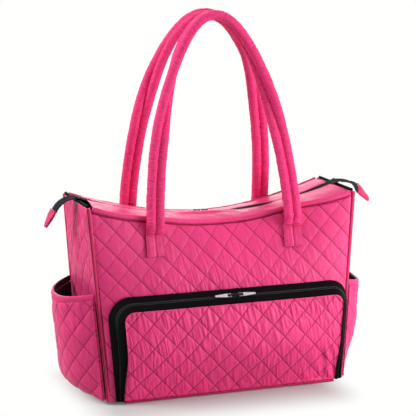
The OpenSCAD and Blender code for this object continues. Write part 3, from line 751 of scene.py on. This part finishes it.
# Corner piping with fine gathers, and a near-black cord beside it that is painted shadow along the seam
def make_piping(sx, sy, seed):
    inward = edge - piping_r - gap
    ends = [[inward - half_w(z), inward - half_d(z), z] for z in (panel_z, end_h)]
    path, s = spread(ends, 1.2)

    def radius(i, ang):
        r = piping_r + 0.4 + 0.2 * noise(s[i] / 3.0, ang * 1.2, seed) + 0.12 * sin(s[i] * 1.1)
        return r, r

    def at_corner(line, n, r):
        return (round_rings(line, (0, 1, 0), n, r) * [-sx, -sy, 1])[:, ::sx * sy]

    name = corner_name(sx, sy)
    seam = path + 2.2 * array([-0.82, -0.57, 0])
    pipe(name + "_corner_cord", at_corner(path, 14, radius), pink_trim, "shell", nodes=[name + "_piping"])
    # Painted shadow along the seam beside the piping
    pipe(name + "_corner_seam_shadow", at_corner(seam, 8, smooth(0.9)), painted_seam_shadow, "shell")


for k, corner in enumerate(CORNERS):
    make_piping(*corner, 60 + k)


# Top edge: a rolled binding along each panel with a dark cord under it that is painted shadow of the fold,
# black tape over each gusset
def make_top_edge(sign):
    x = linspace(-1, 1, 330) * 0.985 * (half_w(end_h) - edge)
    z = rim_z(x, sign)
    path = pack(x, panel_t / 2 - face_d(x, z), z + 0.6)
    s = arc_len(path)

    def radius(i, ang):
        r = 1 + 0.07 * noise(s[i] / 2.6, ang, 71) + 0.05 * noise(s[i] / 9, ang, 72)
        return 2.9 * r, 3.9 * r

    rings = round_rings(path, (0, 0, 1), 18, radius)
    rings, = placed(sign, TO_BACK, rings)
    name = face_name(sign)
    pipe(name + "_rolled_edge", rings, pink_plain, "shell", nodes=[name + "_top_binding"])
    path = path * [1, -sign, 1]
    thread.row(path + [0, sign * 2.75, -2.2], [0.0, sign, -0.4])
    # A dark cord in the groove under the binding: painted shadow of the fold
    groove = (path + [0, sign * 1.7, -4.4])[::-sign]
    pipe(name + "_top_seam_shadow", round_rings(groove, (0, 0, 1), 8, smooth(1.0)), pink_seam_and_shadow, "shell")


def make_tape_edge(side):
    y = linspace(-1, 1, 90) * (half_d(end_h) - edge - 2)
    path = pack(panel_t / 2 - half_w(end_h), y, end_h + edge_r - 0.2)

    def radius(i, ang):
        r = 1 + 0.06 * noise(i / 2.0, ang, 81)
        return 2.1 * r, 2.5 * r

    rings = round_rings(path, (0, 0, 1), 14, radius)
    rings, = placed(side, TO_RIGHT, rings)
    name = end_name(side) + "_gusset"
    pipe(name + "_tape_edge", rings, black_tape, "shell", nodes=[name + "_binding"], slot="zip_tape")


thread = Thread()
for sign in (-1, 1):
    make_top_edge(sign)
for side in (-1, 1):
    make_tape_edge(side)

# End pockets: pouches gathered on an elastic hem
POUCH_STEPS, HEM_RINGS, HEM_SIDES = 800, 260, 20


def side_points(fill, u, v, depth):
    stand, full_z, sag, fall = fill
    z = lerp(panel_z + depth, side_h - sag * (1 - u * u) - fall * ease((u + 1) / 2), v)
    room = 1 - abs(u) ** 2.6
    t = clip((z - panel_z - depth) / full_z, 0, 1)
    bulge = (stand - depth) * sqrt(1 - (1 - t) ** 2)
    out = gap + bulge * room + (side_t - depth) * (1 - room)
    return pack(-half_w(z) - out, -u * (half_d(z) - 6), z)


def make_pouch(side, seed, fill, across, up):
    """The quilted cloth, on even steps across and up it."""
    (flat_u, su), (flat_v, sv) = across, up
    a, b = meshgrid(linspace(su[0], su[-1], 190), linspace(0, sv[-1], 120))
    u, v = interp(a, su, flat_u), interp(b, sv, flat_v)
    out, inn = (side_points(fill, u, v, depth) for depth in (0, side_cloth))
    uv = pack(a + 4, b)
    puff, fold = quilted(a + 4, b, seed, 1.4)
    drop = sv[-1] - b
    gather = 1.3 * exp(-drop / 22) * noise(a / 5.5, drop / 30, seed + 2)
    slow = 2.2 * fbm(a / 60, b / 50, seed + 3)
    h = seam_fade(a.shape, 6, 5) * (puff + fold * 0.4 + slow) + gather * seam_fade(a.shape, 8, 2)
    out, inn, uv = placed(side, TO_RIGHT, out + normals(out) * h[..., None], inn, uv)
    name = end_name(side)
    nodes = [name + "_end_pocket"]
    ob = slab(name + "_pouch_quilt", out, inn, pink_side, "shell", uv, nodes=nodes, slot="quilted_cloth")


def make_pouch_lining(side, seed, fill):
    u, v = meshgrid(linspace(-1, 1, 60), linspace(0, 1, 50) ** 1.6)
    out, inn = (side_points(fill, u, v, side_cloth + d) for d in (gap, gap + 0.7))
    inn = inn + normals(out) * (0.25 * noise(u * 9, v * 5, seed + 6) - 0.25)[..., None]
    out, inn, uv = placed(side, TO_RIGHT, out, inn, pack(u * 90, v * 150))
    name = end_name(side)
    nodes = [name + "_pocket_lining"]
    ob = slab(name + "_pouch_lining", out, inn, lining_cloth, "shell", uv, nodes=nodes, slot="lining")


def make_hem(side, seed, fill, across):
    flat_u, su = across
    s = linspace(su[0], su[-1], HEM_RINGS)
    u = interp(s, su, flat_u)
    outer, inner = (side_points(fill, u, np.ones(HEM_RINGS), depth) for depth in (0, panel_t + 0.6))
    half = np.linalg.norm(outer - inner, axis=1)[:, None] / 2
    out = unit(outer - inner)
    mid = (outer + inner) / 2 + [0, 0, gap + hem_h / 2]
    k = arange(HEM_SIDES) * 2 * pi / HEM_SIDES
    ck, sk = cos(k), sin(k)
    square = (abs(ck) ** 4 + abs(sk) ** 4) ** -0.25
    s = s[:, None]
    wide = 1 + 0.16 * noise(s / 3.4, ck * 0.8, seed + 7) + 0.1 * noise(s / 1.7, sk, seed + 8)
    tall = 1 + 0.04 * noise(s / 4, ck, seed + 9)
    rings = mid[:, None] + (half * square * ck * wide)[..., None] * out[:, None]
    rings = rings + (hem_h / 2 * square * sk * tall)[..., None] * array([0, 0, 1.0])
    rings = placed(side, TO_RIGHT, rings)[0][:, ::-1]
    name = end_name(side)
    nodes = [name + "_pocket_hem", name + "_pocket_elastic"]
    hem = pipe(name + "_pouch_hem", rings, pink_plain, "shell", nodes=nodes)
    hem.data.materials.append(lining_cloth)
    within = (ck if side > 0 else ck[::-1]) < 0.1
    for face in hem.data.polygons:
        face.material_index = int(all(within[i % HEM_SIDES] for i in face.vertices))
    flip = TO_RIGHT if side > 0 else 1
    thread.row((mid + out * (half + 0.25) + [0, 0, hem_h / 2 - 5.2]) * flip, out * flip)


def make_end_pocket(side, seed, fill):
    u = linspace(-1, 1, POUCH_STEPS)
    v = linspace(0, 1, POUCH_STEPS) ** 2
    across = u, arc_len(side_points(fill, u, np.full(POUCH_STEPS, 0.7), 0), centred=True)
    up = v, arc_len(side_points(fill, np.zeros(POUCH_STEPS), v, 0))
    make_pouch(side, seed, fill, across, up)
    make_pouch_lining(side, seed, fill)
    make_hem(side, seed, fill, across)


make_end_pocket(-1, 101, left_fill)
make_end_pocket(1, 131, right_fill)

# Front pocket: zip band, from the bottom left round to the bottom right
LEG_STEPS, ARC_STEPS, TOP_STEPS, BAND_COLS = 70, 34, 110, 15


def lift_at(z):
    return foot + (1 - foot) * ease((z - flap_z) / 75)


def inset(d, z):
    return d * slope_len * lerp(leg_taper, 1, ease((z - flap_z) / (0.55 * pocket_h)))


def u_path(d):
    """Outline of the band at insets d."""
    d = np.asarray(d, float)
    down = (slice(None),) + (None,) * d.ndim
    a0 = -math.atan(slope)
    r = pocket_r - d
    z = lerp(flap_z, arc_cz + r * math.sin(a0), linspace(0, 1, LEG_STEPS, endpoint=False)[down])
    leg = pack(half_w(z) - pocket_margin - inset(d, z), z)
    a = linspace(a0, pi / 2, ARC_STEPS, endpoint=False)[down]
    arc = pack(arc_cx + r * cos(a), arc_cz + r * sin(a))
    top = pack(linspace(arc_cx, 0, TOP_STEPS)[down], pocket_h - d)
    half = concatenate([leg, arc, top])
    return concatenate([half * [-1, 1], half[-2::-1]])


def band_points(d, off):
    """Band points for insets d and heights off over the band, both along the section."""
    d, off = np.broadcast_arrays(np.asarray(d, float), np.asarray(off, float))
    near, far = u_path(d), u_path(d - off)
    k = band_rise * lift_at(near[..., 1])
    q = sqrt(1 + k * k)
    p = lerp(near, far, (k / q)[..., None])
    x = p[..., 0] + pocket_shift
    return pack(x, -(face_d(x, p[..., 1]) + band_low + k * d + off / q), p[..., 1])


def settles(ob, body="pocket_front"):
    """A piece of the flap gets a mesh of its own."""
    if body == "pocket_front":
        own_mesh(ob)


def make_band(name, node, d0, d1, body, zip_at_end, seed):
    """One tape of the zip; its edge at the zip turns down."""
    c = linspace(0, 1, BAND_COLS)
    d = lerp(d0, d1, c)
    near = c if zip_at_end else 1 - c
    bow = sin(pi * c)
    height = 0.45 + 0.35 * bow ** 0.6
    height = height - 1.5 * ease((near - 0.86) / 0.14) + 0.35 * hill(near, 0.8, 0.05)
    flat = band_points(d, np.zeros(BAND_COLS))
    away = band_points(d, np.ones(BAND_COLS)) - flat
    height = height + 1.8 * bow ** 0.7 * (1 - ease((flat[..., 2] - 100) / 35))
    out, inn = flat + away * height[..., None], flat + away * (height - 1.0)[..., None]
    s = arc_len(out[:, BAND_COLS // 2], centred=True)[:, None]
    wob = 0.3 * noise(s / 7, c[None] * 2, seed) + 0.12 * noise(s / 2.5, c[None] * 3, seed + 1)
    out = out + normals(out) * wob[..., None] * bow[None, :, None]
    uv = pack(c[None] * (d1 - d0), s)
    settles(slab(name, out, inn, black_tape, body, uv, nodes=[node], slot="zip_tape"), body)
    return out


def make_coil(name, node, d_mid, body):
    path, s = spread(band_points(array([d_mid]), array([-0.2]))[:, 0], 0.55)
    rings = round_rings(path, (0, 1, 0), 8, ribbed(s, 2.2, 0.95, 0.95))
    settles(pipe(name, rings, coil_plastic, body, nodes=[node], slot="zip_coil"), body)


def sew_tape(name, tape, col, body):
    rows = Thread()
    rows.row(tape[:, col], normals(tape)[:, col])
    settles(rows.make(name, black_tape, body), body)


tape_out = make_band("pocket_outer_tape", "pocket_zip_outer_tape", 0.0, zip_d - 0.25, "shell", True, 201)
tape_in = make_band("pocket_inner_tape", "pocket_zip_inner_tape", zip_d + 0.25, band_w - 0.6, "pocket_front",
                    False, 211)
make_coil("pocket_outer_coil", "pocket_zip_outer_coil", zip_d - 0.95, "shell")
make_coil("pocket_inner_coil", "pocket_zip_inner_coil", zip_d + 0.95, "pocket_front")
sew_tape("pocket_tape_stitches", tape_out, 2, "shell")
sew_tape("flap_tape_stitches", tape_in, 12, "pocket_front")


# Front pocket: quilted flap, its lining and the binding it turns on
def flap_points(u, v, d, depth):
    half_top = half_w(pocket_h - d) - pocket_margin - d * slope_len
    c = clip((abs(u) * half_top - arc_cx) / (half_top - arc_cx), 0, 1)
    z = lerp(flap_z, arc_cz + (pocket_r - d) * sqrt(1 - c * c), v)
    x = pocket_shift + u * (half_w(z) - pocket_margin - inset(d, z))
    puff = flap_bulge * (1 - u * u) * sin(pi * v)
    return pack(x, depth - (face_d(x, z) + band_lift * lift_at(z) + puff), z)


def make_flap():
    u = linspace(-1, 1, 360)
    u = np.sign(u) * (1 - (1 - abs(u)) ** 1.15)
    u, v = meshgrid(u, linspace(0, 1, 110))
    out, inn = (flap_points(u, v, band_w, depth) for depth in (0, panel_t - 1.2))
    x, z = out[..., 0], out[..., 2]
    uv = pack(x + 6, z + 4)
    puff, fold = quilted(x + 6, z + 4, 301, 1.3, 1.0, 0.5)
    drop = (1 - v) * (out[-1, :, 2] - flap_z)[None]
    reach = 0.62 + 0.3 * noise(x / 45, z / 40, 302) + 0.35 * exp(-drop / 30)
    gather = 1.2 * exp(-drop / 15) * noise(x / 3.6, drop / 22, 303) * clip(drop / 3, 0.25, 1)
    corner = exp(-(((x - 150) / 34) ** 2 + ((z - 30) / 30) ** 2))
    pull = 2.2 * corner * noise((x + 0.55 * z) / 8, (z - x) / 50, 304)
    slow = 1.6 * fbm(x / 80, z / 60, 305)
    h = seam_fade(x.shape, 4, 4) * (puff + fold * reach + slow + pull) + gather * seam_fade(x.shape, 4, 2)
    out = out + normals(out) * h[..., None]
    flap = slab("pocket_front_quilt", out, inn, pink_pocket, "pocket_front", uv, nodes=["pocket_flap"],
                slot="quilted_cloth")
    settles(flap)


def make_flap_lining():
    u, v = meshgrid(linspace(-1, 1, 90), linspace(0, 1, 40))
    out, inn = (flap_points(u, v, band_w + 2, panel_t - 0.7 + e) for e in (0, 0.6))
    ob = slab("pocket_front_lining", out, inn, lining_cloth, "pocket_front", out[..., [0, 2]],
              nodes=["pocket_flap_lining"], slot="lining")
    settles(ob)


def make_bottom_roll():
    half = half_w(flap_z) - pocket_margin - inset(band_w, flap_z) - 1
    path, s = spread([[pocket_shift + x, hinge_y, hinge_z] for x in (-half, half)], 1.3)

    def radius(i, ang):
        r = bind_r + 0.18 * noise(s[i] / 2.4, ang, 310) + 0.15 * noise(s[i] / 7, ang, 311)
        return r, r

    # The roll takes the darker pink of painted shade
    pipe("pocket_bottom_roll", round_rings(path, (0, 0, 1), 14, radius), pink_bottom_painted_shade, "shell",
         nodes=["pocket_bottom_binding"])


make_flap()
make_flap_lining()
make_bottom_roll()

# Top closure: cloth strips that fold in over the zip, tapes, coils
STRIP_ROWS, STRIP_COLS = 34, 260
SLIDER_HALF = 11


def opens(ob):
    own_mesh(ob)


def strip_edge(x):
    """How far the front strip's fold stays back from the middle of the zip."""
    slit = 7.0 * hill(x, 66, 30, 4) + 7.5 * ease((x - 118) / 60) + 8.0 * ease((-x - 150) / 40)
    return 1.4 + slit + 3.4 * hill(x, top_meet, SLIDER_HALF, 4)


def zip_parts(x):
    """How far each half of the zip stands back round the sliders."""
    off = (x - top_meet) / SLIDER_HALF
    return np.where(abs(x - top_meet) < SLIDER_HALF, 1.2 * (1 - off ** 2), 0)


def make_strip(sign, seed):
    t, u = meshgrid(linspace(0, 1, STRIP_ROWS), linspace(-1, 1, STRIP_COLS), indexing="ij")
    x = u * lerp(strip_half + 9, strip_half + 4, t)
    seam_z = rim_z(x, sign)
    y = lerp(panel_t / 2 + binding_r - face_d(x, seam_z), -strip_edge(x) * (1.0 if sign < 0 else 0.8), t)
    z = lerp(seam_z + binding_r + 0.6, zip_z(x) + tape_t / 2 + 0.6, t) + 1.6 * sin(pi * t)
    if sign < 0:
        z = z + 3.2 * hill(x, top_meet, 40, 4) * ease((t - 0.55) / 0.3)
    wr = 0.8 * noise(x / 16, t * 2.5, seed) + 0.5 * noise(x / 5, t * 1.5, seed + 1) * exp(-t * 4)
    wr = wr + 0.35 * noise(x / 7, t * 4, seed + 2)
    z = z + wr * sin(pi * (t * 0.9 + 0.05))
    out = pack(x, y, z)
    inn = out - [0, 0, 1.6]
    uv = pack(x, t * 40)
    out, inn, uv = placed(sign, TO_BACK, out, inn, uv)
    name = face_name(sign)
    nodes = [name + "_closure_strip"]
    ob = slab(name + "_mouth_strip", out, inn, pink_plain, "shell", uv, nodes=nodes, slot="plain_cloth")
    opens(ob)
    rows = Thread()
    rows.row(out[-4], [0.0, 0, 1.0], r=0.38)
    opens(rows.make(name + "_strip_stitches", pink_thread, "shell"))


def make_top_tape(sign, seed):
    x, w = meshgrid(linspace(-(tail_x - 1), tail_x - 1, 420), linspace(-tape_w, -0.25, 9))
    z = zip_z(x) + tape_t / 2 - 0.15 + 0.12 * noise(x / 3, w, seed)
    out = pack(x, w - zip_parts(x) * ease((w + 4) / 4), z)
    inn = out - [0, 0, tape_t - 0.2]
    uv = pack(w, x)
    out, inn, uv = placed(sign, TO_BACK, out, inn, uv)
    name = face_name(sign)
    nodes = ["top_zip_" + name + "_tape"]
    opens(slab(name + "_top_tape", out, inn, black_tape, "shell", uv, nodes=nodes, slot="zip_tape"))


def make_top_coil(sign):
    x = linspace(-(tail_x - 1), tail_x - 1, 900)
    line = pack(x, -(1.2 + zip_parts(x)), zip_z(x) - tape_t / 2 - coil_t / 2)
    path, s = spread(line, 0.6)
    rings = round_rings(path, (0, 0, 1), 8, ribbed(s, 2.4, 0.6, 0.95))
    rings, = placed(sign, TO_BACK, rings)
    name = face_name(sign)
    nodes = ["top_zip_" + name + "_coil"]
    opens(pipe(name + "_top_coil", rings, coil_plastic, "shell", nodes=nodes, slot="zip_coil"))


for sign, seed in ((-1, 401), (1, 431)):
    make_strip(sign, seed)
    make_top_tape(sign, seed + 3)
    make_top_coil(sign)

# Zip tails with folded tabs
TAB_SIDES = 40
tail_t = tape_t + coil_t


def tail_frame(s, droop, twist):
    """Points along a drooping tail, with the directions across it and out of its top."""
    rate = math.radians(droop) / tail_l
    a = minimum(s, tail_l) * rate
    rest = maximum(0, s - tail_l)
    x = -tail_x - sin(a) / rate - rest * cos(a)
    z = tail_z - (1 - cos(a)) / rate - rest * sin(a)
    up = pack(-sin(a), 0, cos(a))
    turn = (math.radians(twist) * ease(1.8 * s / tail_l - 0.8))[:, None]
    flat = array([0, 1.0, 0])
    wide = cos(turn) * flat + sin(turn) * up
    return pack(x, 0, z), wide, cos(turn) * up - sin(turn) * flat


def tab_taper(f):
    return 1 - 0.66 * clip(f, 0, 1) ** 1.5


def make_chain(side, bend, flip):
    """The closed zip chain of a tail, with its teeth along the middle."""
    s, w = linspace(0, tail_l + tail_tab_l - 6, 70), linspace(1, -1, 25)
    p, wide, up = tail_frame(s, *bend)
    ridge = 0.75 * exp(-(w * tape_w / 2.6) ** 4) + 0.14 * cos(w * 34) - 1.2 * w ** 2
    half = (tape_w - 0.6) * np.where(s > tail_l, 0.85 * tab_taper((s - tail_l) / tail_tab_l), 1)
    teeth = 0.3 * sin(2 * pi * s / 2.2)[:, None] * exp(-(w * tape_w / 2.4) ** 4)[None]
    top = p[:, None] + (half[:, None] * w)[..., None] * wide[:, None] + ridge[None, :, None] * up[:, None]
    top = top + teeth[..., None] * up[:, None]
    low = top - 1.3 * up[:, None]
    uv = pack(w[None] * tape_w, s[:, None])
    out, inn, uv = (g.transpose(1, 0, 2)[::-1, ::side] for g in (top, low, uv))
    name = end_name(side)
    slab(name + "_tail_chain", out * flip, inn * flip, grey_tape, name + "_tail", uv,
         nodes=[name + "_zip_tail"], slot="zip_tape")


def make_fold(side, bend, flip, seed):
    """The folded tab: a flat sleeve, pinched at the end."""
    s = linspace(tail_l + 0.5, tail_l + 0.5 + tail_tab_l, 50)
    p, wide, up = tail_frame(s, *bend)
    k = arange(TAB_SIDES) * 2 * pi / TAB_SIDES
    ck, sk = cos(k), sin(k)
    square = (abs(ck) ** 5 + abs(sk) ** 5) ** -0.2
    f = ((s - s[0]) / tail_tab_l)[:, None]
    half_wide = (tape_w + 0.6) * tab_taper(f)
    half_thick = (tail_t / 2 + 1.5) * (1 - 0.35 * f ** 2) * (1 - 0.3 * hill(f, 0.12, 0.05))
    wr = 1 + 0.12 * noise(f * 6, ck[None] * 2.5, seed) * (1 - 0.3 * f)
    mid = p + up * (tape_t / 2 - tail_t / 2)
    rings = mid[:, None] + (half_wide * square * ck)[..., None] * wide[:, None]
    rings = rings + (half_thick * square * sk * wr)[..., None] * up[:, None]
    name = end_name(side)
    nodes = [name + "_tail_tab"]
    pipe(name + "_tail_fold", (rings * flip)[:, ::-side], pink_trim, name + "_tail", nodes=nodes)


def make_tail(side, droop, twist, seed):
    flip = array([-side, 1, 1])
    make_chain(side, (droop, twist), flip)
    make_fold(side, (droop, twist), flip, seed)
    rows = Thread()
    for along, half in ((3.2, 10), (22.0, 5.5)):
        p, wide, up = tail_frame(np.full(14, tail_l + along), droop, twist)
        line = p + linspace(-half, half, 14)[:, None] * wide + up * (tape_t / 2 + 1.2)
        rows.row(line * flip, up * flip, **SHORT_ROW)
    rows.make(end_name(side) + "_tail_stitches", pink_thread, end_name(side) + "_tail")


make_tail(-1, left_droop, 0, 501)
make_tail(1, right_droop, 30, 511)

# Handles: two stuffed tubes side by side, turned a quarter towards the top
HANDLE_RINGS, HANDLE_SIDES = 640, 56


def handle_line(power):
    """Points along the arch, their distance along it, and the directions across and square to the tubes."""
    a = linspace(0.0003, pi - 0.0003, 4000)

    def arch(a_):
        t = abs(sin(a_)) ** power
        return pack(-handle_x * cos(a_), lerp(leg_y, apex_y, t), lerp(handle_z, handle_top, t))

    s = arc_len(arch(a))
    at = linspace(0, s[-1], HANDLE_RINGS)
    a = interp(at, s, a)
    p = arch(a)
    d = tangents(p)
    d[0], d[-1] = d[1], d[-2]
    b = unit(array([0, handle_top - handle_z, leg_y - apex_y]))
    side = np.cross(np.broadcast_to(b, d.shape), d)
    turn = (pi / 2 * ease((abs(sin(a)) - 0.4) / 0.52))[:, None]
    wide = unit(cos(turn) * side + sin(turn) * b)
    return p, at, wide, np.cross(d, wide)


def handle_radius(at, k, seed):
    """Outline of the two tubes with gathers, deepest along the seam between them."""
    apart = tube_r - 0.7
    rho = apart * abs(cos(k)) + sqrt(maximum(tube_r ** 2 - (apart * sin(k)) ** 2, 0))
    seam = abs(sin(k)) ** 4
    tube = np.sign(cos(k))
    wr = noise(at / 3.1 + tube * 40, sin(k)[None] * 0.9 + tube * 9, seed)
    fine = noise(at / 1.7 + tube * 70, sin(k)[None] * 1.6, seed + 1)
    soft = noise(at / 22, cos(k)[None] * 1.2, seed + 2)
    r = rho * (1 + 0.02 * soft) + (0.5 * wr + 0.35 * fine) * (0.5 + 0.8 * seam)
    return r * np.where(seam > 0.9, 1 + 0.1 * fine, 1)


def make_handle(sign, seed):
    p, at, wide, q = handle_line(front_arch if sign < 0 else back_arch)
    k = arange(HANDLE_SIDES) * 2 * pi / HANDLE_SIDES
    k = k + 0.16 * sin(2 * k)
    end = minimum(at, at[-1] - at)
    flat = lerp(0.36, 1.0, ease((end - 1) / 15))[:, None]
    p = p + (tube_r * (1 - flat)) * np.where(q[:, 1:2] > 0, q, -q)
    r = handle_radius(at[:, None], k, seed)
    co = p[:, None] + (r * cos(k))[..., None] * wide[:, None]
    co = co + (r * sin(k) * flat)[..., None] * q[:, None]
    uv = pack(at[:, None], k[None] * 9)

    def both_ends(e):
        return [int(np.searchsorted(at, x)) for x in (e, at[-1] - e)]

    def across(j, top, count):
        """Points of ring j over its top or its underside, in order."""
        cols = np.argsort(abs(k - (pi / 2 if top else 3 * pi / 2)))[:count]
        return co[j, cols[np.argsort(k[cols])]]

    rows, ends = Thread(), Thread()
    for face in (-1, 1):
        rows.row(p + q * face * 2.9 * flat, q * face, r=0.4)
    for e in (4.0, 9.0):
        for j in both_ends(e):
            for face in (-1, 1):
                rows.row(across(j, face > 0, 19), q[j] * face, length=2.4, space=0.8, r=0.36)
    for j in both_ends(1.2):
        ends.row(across(j, q[j, 1] < 0, 23), [0.0, -1.0, 0.0], **SEAM_ROW)
    co, = placed(sign, TO_BACK, co)
    if sign > 0:
        for stitches in (rows, ends):
            stitches.co = [c * TO_BACK for c in stitches.co]
            stitches.faces = [f[::-1] for f in stitches.faces]
    name = face_name(sign) + "_handle"
    ends.make(name + "_ends", pink_seam_and_shadow, name)
    nodes = [name + "_cover", name + "_cords"]
    # The strap's pink carries painted light and painted shade in its creases
    ob = pipe(name + "_strap", co, pink_handle_painted_light_and_shade, name, uv=uv, nodes=nodes)
    rows.make(name + "_stitches", pink_thread, name)


make_handle(-1, 601)
make_handle(1, 631)


# Handle tabs: flat cloth ends sewn to the panels
def make_tab(sx, sy, seed):
    v, u = meshgrid(linspace(0, 1, 36), linspace(-1, 1, 40), indexing="ij")
    half = lerp(14.0, 13.2, v)
    x = -handle_x + u * half
    z = handle_z - tab_l / 2 - 1.2 + (v - 0.5) * (tab_l + 1)
    rim = minimum((1 - abs(u)) * 14, minimum(v, 1 - v) * tab_l)
    h = 2.7 + 0.8 * ease(rim / 2.5) - 1.1 * exp(-(u * half / 1.2) ** 2) + 0.3 * noise(x / 6, z / 5, seed)
    h = h - 0.5 * hill(rim, 2.6, 0.7)
    y = -face_d(x, z)

    def raised(up):
        return pack(x, y - up, z)

    flip = array([-sx, -sy, 1.0])
    out, inn, uv = (g[:, ::sx * sy] for g in (raised(h), raised(0.7), pack(x, z)))
    name = corner_name(sx, sy)
    slab(name + "_tab_patch", out * flip, inn * flip, pink_plain, "shell", uv,
         nodes=[name + "_handle_tab"], slot="plain_cloth")
    k = 3
    g = raised(h) - [0, 0.1, 0]
    loop = concatenate([g[k:-k, k], g[-k, k:-k], g[k:-k, -k][::-1], g[k, k:-k][::-1]])
    thread.row(loop * flip, [0.0, sy, 0], r=0.4, **SHORT_ROW)
    g = raised(1.5)
    loop = concatenate([g[:, 0], g[-1], g[::-1, -1], g[0, ::-1]])
    tab_seams.row(loop * flip, [0.0, sy, 0], **SEAM_ROW)


tab_seams = Thread()
for k, corner in enumerate(CORNERS):
    make_tab(*corner, 701 + k)
tab_seams.make("tab_seams", pink_seam_and_shadow, "shell")
thread.make("shell_stitches", pink_thread, "shell")

# Sliders and pulls: the CAD forms with eased edges
EASE_W = 0.0003


def eased(node, mat, body):
    ob = bpy.data.objects.new(node + "_cast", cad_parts[node].data.copy())
    bpy.context.collection.objects.link(ob)
    ob.data.materials.clear()
    ob.data.materials.append(mat)
    bev = ob.modifiers.new("bevel", "BEVEL")
    bev.width = EASE_W
    bev.segments = 2
    bev.limit_method = "ANGLE"
    bev.angle_limit = math.radians(35)
    me = bpy.data.meshes.new_from_object(ob.evaluated_get(bpy.context.evaluated_depsgraph_get()))
    ob.modifiers.clear()
    ob.data = me
    me.polygons.foreach_set("use_smooth", np.ones(len(me.polygons), bool))
    me.set_sharp_from_angle(angle=math.radians(42))
    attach(ob, body)
    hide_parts(node)


for where, short in (("left", "l"), ("right", "r")):
    eased("pocket_slider_" + where, slider_black, "pocket_slider_" + short)
    eased("pocket_pull_" + where, pull_metal, "pocket_pull_" + short)
    eased("top_slider_" + where, slider_black, "top_slider_" + short)
    eased("top_pull_" + where, slider_black, "top_pull_" + short)
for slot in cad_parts["base_board"].material_slots:
    slot.material = board_grey

# Floor, light and camera
WHITE = (1, 1, 0.985, 1)
FLOOR_HALF, FLOOR_Z = 6, -0.0004
# The floor shows the shadow in a box of this half size round this place, and fades to white outside it
SHADOW_HALF, SHADOW_AT, SHADOW_FADE = (0.15, 0.09), (-0.02, -0.02), 0.1

scene = bpy.context.scene
scene.view_settings.view_transform = "Standard"


def seen(t):
    n = t.nodes.new("ShaderNodeLightPath")
    a = calc(t, "MAXIMUM", n.outputs["Is Camera Ray"], n.outputs["Is Glossy Ray"])
    return calc(t, "MAXIMUM", a, n.outputs["Is Transmission Ray"])


def make_world():
    world = bpy.data.worlds.new("studio")
    scene.world = world
    world.use_nodes = True
    t = world.node_tree
    bg = t.nodes["Background"]
    bg.inputs["Color"].default_value = WHITE
    put(t, bg.inputs["Strength"], rise(t, seen(t), 0.0, 1.0, 0.1, 1.0))


def floor_material():
    m, t, b = material("pale_floor")
    b.inputs["Base Color"].default_value = (0.51, 0.51, 0.504, 1)
    b.inputs["Roughness"].default_value = 0.9
    b.inputs["Specular IOR Level"].default_value = 0.1
    glow = t.nodes.new("ShaderNodeEmission")
    glow.inputs["Color"].default_value = WHITE
    glow.inputs["Strength"].default_value = 1.0
    off = []
    for c, at, half, stretch in zip(coords(t, uv=False)[1:], SHADOW_AT, SHADOW_HALF, (1.5, 1.0)):
        past = calc(t, "SUBTRACT", calc(t, "ABSOLUTE", calc(t, "SUBTRACT", c, at)), half)
        past = times(t, calc(t, "MAXIMUM", past, 0.0), stretch)
        off.append(times(t, past, past))
    far = calc(t, "SQRT", plus(t, *off))
    mix = t.nodes.new("ShaderNodeMixShader")
    put(t, mix.inputs[0], times(t, seen(t), rise(t, far, 0.0, SHADOW_FADE, 0.1, 1.0)))
    t.links.new(b.outputs[0], mix.inputs[1])
    t.links.new(glow.outputs[0], mix.inputs[2])
    t.links.new(mix.outputs[0], t.nodes["Material Output"].inputs[0])
    return m


def make_floor():
    me = bpy.data.meshes.new("floor")
    corners = [(x * FLOOR_HALF, y * FLOOR_HALF, FLOOR_Z) for x, y in ((-1, -1), (1, -1), (1, 1), (-1, 1))]
    me.from_pydata(corners, [], [(0, 1, 2, 3)])
    floor = bpy.data.objects.new("floor", me)
    bpy.context.collection.objects.link(floor)
    me.materials.append(floor_material())


def aimed(name, data, at, aim):
    ob = bpy.data.objects.new(name, data)
    bpy.context.collection.objects.link(ob)
    ob.location = at
    ob.rotation_euler = (Vector(aim) - Vector(at)).to_track_quat("-Z", "Y").to_euler()
    return ob


def lamp(name, at, aim, size, power):
    la = bpy.data.lights.new(name, "AREA")
    la.shape = "RECTANGLE"
    la.size, la.size_y = size
    la.energy = power
    aimed(name, la, at, aim)


make_world()
make_floor()
lamp("key", at=(0.85, -0.62, 0.3), aim=(0.0, -0.05, 0.13), size=(0.5, 0.5), power=9.9)
lamp("top", at=(-0.35, -0.4, 2.2), aim=(0, 0, 0.2), size=(1.4, 1.2), power=19)
lamp("rim", at=(-1.9, 0.35, 1.4), aim=(-0.1, 0, 0.2), size=(1.2, 1.2), power=40)
lamp("back", at=(0.5, 2.1, 0.9), aim=(0, 0.05, 0.2), size=(1.4, 1.0), power=16)
lamp("fill", at=(1.2, -1.9, 0.1), aim=(0.05, -0.09, 0.03), size=(1.2, 0.3), power=7.5)

cam = bpy.data.cameras.new("camera")
cam.lens, cam.sensor_width = 144.0, 36.0
scene.camera = aimed("camera", cam, (-0.8295, -2.2675, 0.7168), (-0.0019, 0.001, 0.2605))
